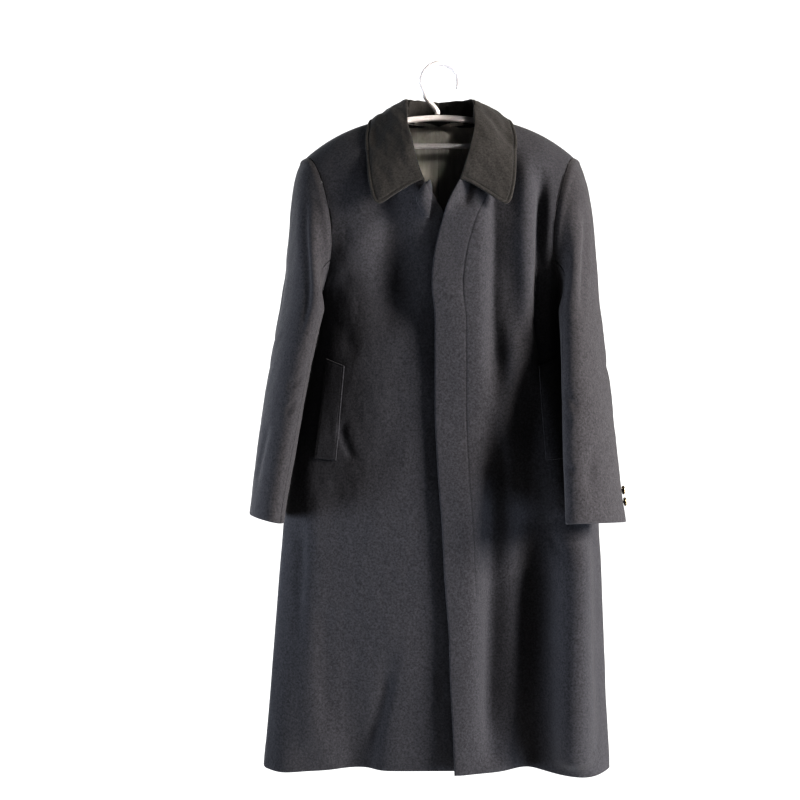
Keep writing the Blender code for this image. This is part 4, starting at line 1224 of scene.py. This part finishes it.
# Distance of the stitches from the edge, the groove that they press, and its width
WELT_STITCH, WELT_GROOVE, WELT_GROOVE_WIDTH = 0.0030, 0.0006, 0.0009
WELT_WIDTH, WELT_LENGTH, WELT_SOFTENING = 0.033, 0.17, 6
WELT_LINES = np.array((*EDGE_LINES, 0.0036, 0.0042)) / WELT_WIDTH
WELT_ENDS = EDGE_LINES / WELT_LENGTH
# Even lines between those close to an edge: first, last and how many
EVEN_OVER, EVEN_DOWN = (0.16, 0.84, 12), (0.026, 0.974, 74)
over = np.concatenate([WELT_LINES, np.linspace(*EVEN_OVER), 1 - WELT_LINES[::-1]])
down = np.concatenate([WELT_ENDS, np.linspace(*EVEN_DOWN), 1 - WELT_ENDS[::-1]])
welts = {}
for side in (RIGHT, LEFT):
    front = tree_of(grids[side, FRONT])
    points = np.zeros((len(down), len(over), 3))
    for j, v in enumerate(down):
        mouth = WELT_CORNERS[0] + (WELT_CORNERS[1] - WELT_CORNERS[0]) * v
        sewn = WELT_CORNERS[2] + (WELT_CORNERS[3] - WELT_CORNERS[2]) * v
        for i, u in enumerate(over):
            x, z = sewn + (mouth - sewn) * u
            points[j, i] = front.ray_cast(Vector((side * x, -1, z)), Vector((0, 1, 0)))[0]
    out = normals(points, FORWARD)
    for _ in range(WELT_SOFTENING):
        out[1:-1] = unit(out[:-2] + out[1:-1] + out[2:])
    groove = WELT_GROOVE * bell(edge_distance(points) - WELT_STITCH, WELT_GROOVE_WIDTH)
    points = points + out * (WELT_GAP + WELT_WALL - groove)[..., None]
    name = f"pocket_welt_{HAND[side]}"
    welt = shell(f"wool_{name}", points, FORWARD, WELT_WALL, WELT_TURN, (wool_body_painted_cool_light,))
    dress(welt, name)
    welts[side] = points, out

# %% [markdown]
# ## The turned corner
# The under front's top corner isn't buttoned up in the photograph, so it has rolled outwards and
# shows as a small lit tongue below the collar. It hangs from the neck edge, so one long side of
# its grid lies on that edge, and the other stands off the front and curls back to it at the tip.

# %% The turned corner of the under front
# Place from the collar to the tip, hinge x and z, free edge x and z
CORNER_GUIDE = (
    (0.00, -0.0180, -0.2150, -0.0275, -0.2190),
    (0.25, -0.0152, -0.2300, -0.0400, -0.2370),
    (0.50, -0.0160, -0.2450, -0.0432, -0.2490),
    (0.75, -0.0182, -0.2620, -0.0385, -0.2610),
    (1.00, -0.0211, -0.2790, -0.0250, -0.2770),
)
CORNER_ROLL, CORNER_WALL, CORNER_TURN = 0.0085, 0.003, 0.0016
# How far it lies off the cloth, where its arch starts and how much of a half turn it takes
CORNER_LIFT, ARCH_START, ARCH_TURN = 0.0012, 0.12, 0.80
CORNER_ROWS, CORNER_COLUMNS, BEFORE_CHEST = 40, 24, -0.110
front = tree_of(grids[RIGHT, FRONT])
points = np.zeros((CORNER_ROWS, CORNER_COLUMNS, 3))
for j, place in enumerate(np.linspace(0, 1, CORNER_ROWS)):
    hinge_x, hinge_z, free_x, free_z = through(CORNER_GUIDE, place)
    for i, u in enumerate(np.linspace(0, 1, CORNER_COLUMNS)):
        x, z = hinge_x + (free_x - hinge_x) * u, hinge_z + (free_z - hinge_z) * u
        spot = front.find_nearest(Vector((x, BEFORE_CHEST, z)))[0]
        arch = math.sin(math.pi * (ARCH_START + ARCH_TURN * u)) * (1 - place**3)
        points[j, i] = (x, spot.y - CORNER_WALL - (CORNER_LIFT + CORNER_ROLL * arch), z)
corner = shell(
    "wool_front_right_corner", points, FORWARD, CORNER_WALL, CORNER_TURN, (wool_body_painted_cool_light,)
)
dress(corner, None)

# %% [markdown]
# ## Thread
# Topstitching shows as a row of small sunk dashes. Each stitch is a short thread that dips into
# the wool at both ends. All the stitches of one seam are joined into one mesh, so that hundreds of
# them cost little.

# %% Rows of stitches
STITCH_PITCH, STITCH_LENGTH, THREAD_RADIUS = 0.0038, 0.0028, 0.00024
# Rings along a stitch, how high it arches and how deep its ends dip, in radii of the thread
STITCH_RINGS, STITCH_ARCH, STITCH_DIP = 6, 2.2, 0.6
# Sides of the thread, and the faces that close its first and its last ring
THREAD_SIDES = 6
FIRST_CAP, LAST_CAP = ((0, 5, 4, 3), (0, 3, 2, 1)), ((0, 1, 2, 3), (0, 3, 4, 5))


def around(sides):
    """Angles at even steps round a circle."""
    return np.linspace(0, 2 * math.pi, sides, endpoint=False)


def ring(first, second, sides):
    """Directions round a tube, from `first` past `second`, which is a quarter turn on."""
    turn = around(sides)[:, None]
    return first[..., None, :] * np.cos(turn) + second[..., None, :] * np.sin(turn)


def closed_round(index):
    """Point numbers with the first column once more at the end, which closes a tube."""
    return np.concatenate([index, index[..., :1]], -1)


def stitch_row(name, path, out):
    """Stitches along a path that lies on the cloth, with the way out of the cloth at each point."""
    run = lengths_along(path, 0)
    count = int(run[-1] / STITCH_PITCH)
    starts = (np.arange(count) + 0.5) * STITCH_PITCH
    shares = np.linspace(0, 1, STITCH_RINGS)
    at = starts[:, None] + (shares[None, :] - 0.5) * STITCH_LENGTH
    centre, up = (
        np.stack([np.interp(at, run, line[:, k]) for k in range(3)], -1) for line in (path, out)
    )
    up = unit(up)
    beside = unit(np.cross(unit(centre[:, -1:] - centre[:, :1]), up))
    lift = THREAD_RADIUS * (STITCH_ARCH * np.sin(math.pi * shares) - STITCH_DIP)
    centre = centre + up * lift[None, :, None]
    points = centre[:, :, None] + ring(up, beside, THREAD_SIDES) * THREAD_RADIUS
    index = numbered(count, STITCH_RINGS, THREAD_SIDES)
    caps = [index[:, 0][:, order] for order in FIRST_CAP]
    caps += [index[:, -1][:, order] for order in LAST_CAP]
    faces = np.concatenate([cells(closed_round(index)), *caps])
    dress(mesh_object(name, points.reshape(-1, 3), faces, (thread,)), None)
    print(f"{name}: {count} stitches")


# %% The stitches of the fly, the collar and the welts
# Columns at the collar's two ends, and rows at a welt's, that have no stitch
COLLAR_FREE, WELT_FREE = 9, 6
front, column = grids[FLY], FLY_COLUMNS.index(FLY_WIDTH)
on_line = (front[:, column, 2] < FLY_TOP_Z) & (front[:, column, 2] > FLY_FOOT_Z)
out = normals(front, FORWARD)
stitch_row("stitches_fly", front[on_line, column], out[on_line, column])
row = len(shares) - len(OUTER_LINES) + OUTER_LINES.index(STITCH_IN)
sewn, out = collar_grid[row], normals(collar_grid, UP)[row]
inner = slice(COLLAR_FREE, -COLLAR_FREE)
stitch_row("stitches_collar_edge", sewn[inner], out[inner])
inner = slice(WELT_FREE, -WELT_FREE)
for side in (RIGHT, LEFT):
    points, out = welts[side]
    for label, u in (("sewn", WELT_STITCH / WELT_WIDTH), ("mouth", 1 - WELT_STITCH / WELT_WIDTH)):
        column, name = int(np.argmin(np.abs(over - u))), f"stitches_welt_{HAND[side]}_{label}"
        stitch_row(name, points[inner, column], out[inner, column])

# %% [markdown]
# ## Cuff buttons
# Two domed metal buttons sit one above the other by the hind seam of each cuff. A button is a
# turned shape, so it is one profile, spun round. The profile has what a struck button has: a
# raised rim, a sunk ring inside it and a low dome, and a back plate with a shank.

# %% Buttons
# Heights above the cuff, the turn round the sleeve, and the gap to the cloth
BUTTON_HEIGHTS, BUTTON_PLACE, BUTTON_GAP = (0.033, 0.052), 248, 0.0004
# Small steps in degrees and rows, which give the directions of the sleeve there
TURN_STEP, ROW_STEP = 2, 0.02
BUTTON_SIDES = 56
# Radius and height from the middle of the dome, round the rim and down the shank
BUTTON_PROFILE = np.array((
    (0.00001, 0.00560), (0.00100, 0.00556), (0.00200, 0.00545), (0.00300, 0.00526),
    (0.00400, 0.00497), (0.00480, 0.00462), (0.00520, 0.00425), (0.00545, 0.00412),
    (0.00575, 0.00420), (0.00610, 0.00445), (0.00650, 0.00446), (0.00690, 0.00424),
    (0.00725, 0.00380), (0.00746, 0.00325), (0.00750, 0.00280), (0.00735, 0.00235),
    (0.00690, 0.00205), (0.00560, 0.00190), (0.00400, 0.00180), (0.00290, 0.00160),
    (0.00245, 0.00100), (0.00240, 0.00000), (0.00001, 0.00000),
))
turn_steps = np.array((0, -1, 1, 0, 0)) * TURN_STEP
row_steps = np.array((0, 0, 0, 1, -1)) * ROW_STEP
radius, height = BUTTON_PROFILE.T[..., None, None]
faces = cells(closed_round(numbered(len(BUTTON_PROFILE), BUTTON_SIDES)).T)
for side in (RIGHT, LEFT):
    for number, above in enumerate(BUTTON_HEIGHTS, 1):
        row = -1 + above / (CAP_Z - CUFF_Z[side])
        spot, before, after, high, low = sleeve_surface(
            side, BUTTON_PLACE + turn_steps, row + row_steps
        )
        axis = unit(np.cross(after - before, low - high)) * -side
        beside = unit(np.cross(axis, UP))
        round_axis = ring(beside, np.cross(axis, beside), BUTTON_SIDES)
        points = spot + axis * (BUTTON_GAP + height) + round_axis[None] * radius
        name = f"cuff_button_{HAND[side]}_{number}"
        button = mesh_object(f"brass_{name}", points.reshape(-1, 3), faces, (brass,))
        dress(button, name)
print("buttons: 4, each", 2 * len(faces), "triangles")

# %% [markdown]
# ## The hanger
# The hanger is moulded in one colour: a rail under the shoulder seams that turns down at each end
# and comes back as a thinner bar, and a hook. Each is one profile swept along a line in the plane
# of the hanger. The rail's profile has the shallow groove that a mould leaves front and back.

# %% Hanger rail, bar and hook
RAIL_RADIUS, BAR_RADIUS, RAIL_GAP, BAR_Z = 0.0055, 0.0045, 0.0004, -0.139
# Where the rail ends, how sharply its middle arches, and the turn of the bend, in degrees
RAIL_END_X, RAIL_ARCH, END_TURN = 0.163, 1.2, 80
ARCH_POINTS, RAIL_POINTS, END_POINTS, RAIL_STEP = 24, 40, 17, 0.01
NECK_POINT_X, NECK_POINT_Z = 0.075, -0.0888
GROOVE_DEPTH, GROOVE_WIDTH, ROD_SIDES = 0.20, 0.42, 40


def rail_line():
    """The loop's middle line, x and z, and its share of the radius."""
    width, sink = TIP_X - NECK_POINT_X, WOOL + RAIL_GAP + RAIL_RADIUS
    xs = np.linspace(NECK_POINT_X, RAIL_END_X, RAIL_POINTS)
    at = (xs - NECK_POINT_X) / width
    leave, arrive = SWEEP[FRONT][0][3], SWEEP[FRONT][0][6]
    above, below = (
        bend(NECK_POINT_Z, TIP_Z, leave, arrive, at + d)[:, 0] for d in (RAIL_STEP, -RAIL_STEP)
    )
    slope = (above - below) / (2 * RAIL_STEP * width)
    length = np.hypot(1, slope)
    half = np.stack([xs + slope / length * sink, (above + below) / 2 - sink / length], -1)
    x0, z0 = half[0]
    arch_x = np.linspace(0, x0, ARCH_POINTS)[:-1]
    arch = np.stack([arch_x, z0 + RAIL_ARCH * (x0**2 - arch_x**2)], -1)
    end_x, end_z = half[-1]
    radius = (end_z - BAR_Z) / 2
    angle = np.radians(np.linspace(END_TURN, -END_TURN, END_POINTS))
    end = np.stack([end_x + radius * np.cos(angle), BAR_Z + radius + radius * np.sin(angle)], -1)
    bar = np.stack([np.linspace(end_x, 0, RAIL_POINTS), np.full(RAIL_POINTS, BAR_Z)], -1)
    right = np.concatenate([arch, half, end, bar])
    thin = BAR_RADIUS / RAIL_RADIUS
    thickness = np.concatenate([
        np.ones(len(arch) + len(half)), np.linspace(1, thin, END_POINTS), np.full(RAIL_POINTS, thin)
    ])
    left = right[1:-1][::-1] * [-1, 1]
    return np.concatenate([right, left]), np.concatenate([thickness, thickness[1:-1][::-1]])


def swept(name, line, radii, closed):
    """A moulded rod, swept along a line in the hanger's plane. A closed one has the groove."""
    if closed:
        tangent = unit(np.roll(line, -1, axis=0) - np.roll(line, 1, axis=0))
    else:
        tangent = unit(np.gradient(line, axis=0))
    turn = around(ROD_SIDES)
    off = np.minimum(np.abs(turn - math.pi / 2), np.abs(turn - 3 * math.pi / 2))
    r = radii[:, None] * (1 - (GROOVE_DEPTH * bell(off, GROOVE_WIDTH) if closed else 0 * off))
    x = line[:, :1] - tangent[:, 1:] * r * np.cos(turn)
    z = line[:, 1:] + tangent[:, :1] * r * np.cos(turn)
    points = np.stack([x, r * np.sin(turn), z], -1).reshape(-1, 3)
    index = numbered(len(line), ROD_SIDES)
    if closed:
        index = np.concatenate([index, index[:1]])
    rod = mesh_object(name, points, cells(closed_round(index)), (plastic,))
    rod.data.validate()
    return rod


line, thickness = rail_line()
rail = swept("plastic_hanger_frame", line, RAIL_RADIUS * thickness, True)
dress(rail, "hanger_frame")

# %% The hook
HOOK_RADIUS, HOOK_BOWL, HOOK_FOOT_X = 0.0045, 0.0275, -0.0045
HOOK_NECK = ((-0.0085, -0.0735), (-0.0185, -0.0620), (-0.0250, -0.0535))
# Points on its neck and its bowl, the bowl's turn in degrees, and how both ends are rounded
NECK_POINTS, BOWL_POINTS, BOWL_TURN = 41, 80, (212, -28)
FOOT_ROUNDING, TIP_ROUNDING = (0.02, 0.80, 0.96), (0.97, 0.88, 0.70, 0.40, 0.02)
foot_z = line[0, 1] + RAIL_RADIUS + SEAM_GAP
neck = ((HOOK_FOOT_X, foot_z), (HOOK_FOOT_X, foot_z + HOOK_RADIUS), *HOOK_NECK)
neck = [(float(k), *spot) for k, spot in enumerate(neck, -1)]
neck = through(neck, np.linspace(-1, 3, NECK_POINTS))
angle, radius = np.radians(np.linspace(*BOWL_TURN, BOWL_POINTS)), HOOK_BOWL + HOOK_RADIUS
bowl = np.stack([radius * np.cos(angle), -HOOK_BOWL + radius * np.sin(angle)], -1)
hook_line = np.concatenate([neck[:-1], bowl])
rounding = np.ones(len(hook_line))
rounding[:len(FOOT_ROUNDING)], rounding[-len(TIP_ROUNDING):] = FOOT_ROUNDING, TIP_ROUNDING
hook = swept("plastic_hanger_hook", hook_line, HOOK_RADIUS * rounding, False)
dress(hook, "hanger_hook")
print("hanger:", len(rail.data.polygons) + len(hook.data.polygons), "faces")

# %% [markdown]
# ## Light
# The photograph is lit from far on the right: warm light on the collar and the chest, cooler light
# on the skirt, and deep shadow on whatever turns left. Two soft boxes, one above the other, stand
# for that window. A faint cool one on the left keeps that edge from going black, a narrow one
# reaches the lining through the neck, and one behind lights the back of the coat.

# %% Lights
def softbox(name, place, size, power, colour, spread=180, target=(0, 0, -0.6)):
    """A square area light that faces a target, and spreads by some degrees."""
    lamp = bpy.data.lights.new(name, "AREA")
    lamp.shape, lamp.size, lamp.energy, lamp.color = "SQUARE", size, power, colour
    lamp.spread = math.radians(spread)
    holder = put(name, lamp)
    holder.location = place
    aim = Vector(target) - Vector(place)
    holder.rotation_euler = aim.to_track_quat("-Z", "Y").to_euler()
    print(f"{name}: {power} W")


softbox("warm high light", (2.76, -1.46, 0.20), 1.0, 322, (1.0, 0.93, 0.86))
softbox("cool low light", (2.32, -1.34, -1.60), 0.9, 72, (0.80, 0.88, 1.0))
softbox("left light", (-2.6, -0.55, -1.20), 1.2, 13, (0.85, 0.91, 1.0), 45)
softbox("neck light", (0.72, -2.40, -0.02), 0.25, 0.30, (1.0, 0.97, 0.93), 20, (0, 0, -0.10))
softbox("back light", (-1.2, 3.0, 0.8), 2.4, 170, (1.0, 1.0, 1.0))

# %% [markdown]
# ## Backdrop, floor and camera
# The camera sees a plain pale backdrop, while the coat gets only a trace of pale light from all
# round. A mix of two backgrounds does that, chosen by whether a ray comes from the camera. The
# floor lies below the hem and isn't part of the coat. The camera is level with the coat's middle.

# %% Backdrop, floor and camera
CAMERA_DISTANCE, VIEW_WIDTH, SENSOR = 2.0, 1.384, 36.0
CENTRE_X, CENTRE_Z = -0.0692, -0.578
FLOOR_Z, FLOOR_RADIUS = -1.9, 1.8
world = bpy.data.worlds.new("pale studio")
world.use_nodes = True
nodes = world.node_tree.nodes
seen = with_inputs(nodes["Background"], Color=(0.93, 0.93, 0.93, 1))
glow = with_inputs(nodes.new("ShaderNodeBackground"), Color=(0.90, 0.94, 1.0, 1), Strength=0.05)
ray, blend = nodes.new("ShaderNodeLightPath"), nodes.new("ShaderNodeMixShader")
join(
    world.node_tree,
    (ray.outputs["Is Camera Ray"], blend.inputs[0]),
    (glow.outputs[0], blend.inputs[1]),
    (seen.outputs[0], blend.inputs[2]),
    (blend.outputs[0], nodes["World Output"].inputs[0]),
)
scene = bpy.context.scene
scene.view_settings.view_transform = "Standard"
scene.view_settings.look = "High Contrast"
scene.world = world

bpy.ops.mesh.primitive_circle_add(
    vertices=96, radius=FLOOR_RADIUS, fill_type="NGON", location=(0, 0, FLOOR_Z)
)
floor = bpy.context.active_object
floor.name = "floor"
floor.data.materials.append(
    finish("pale floor", (0.78, 0.78, 0.78), (0.82, 0.82, 0.82), 3, 0.8, 0.0001)
)

lens = bpy.data.cameras.new("camera")
lens.sensor_width, lens.lens = SENSOR, SENSOR * CAMERA_DISTANCE / VIEW_WIDTH
camera = put("camera", lens)
camera.location = (CENTRE_X, -CAMERA_DISTANCE, CENTRE_Z)
camera.rotation_euler = (math.pi / 2, 0, 0)
scene.camera = camera
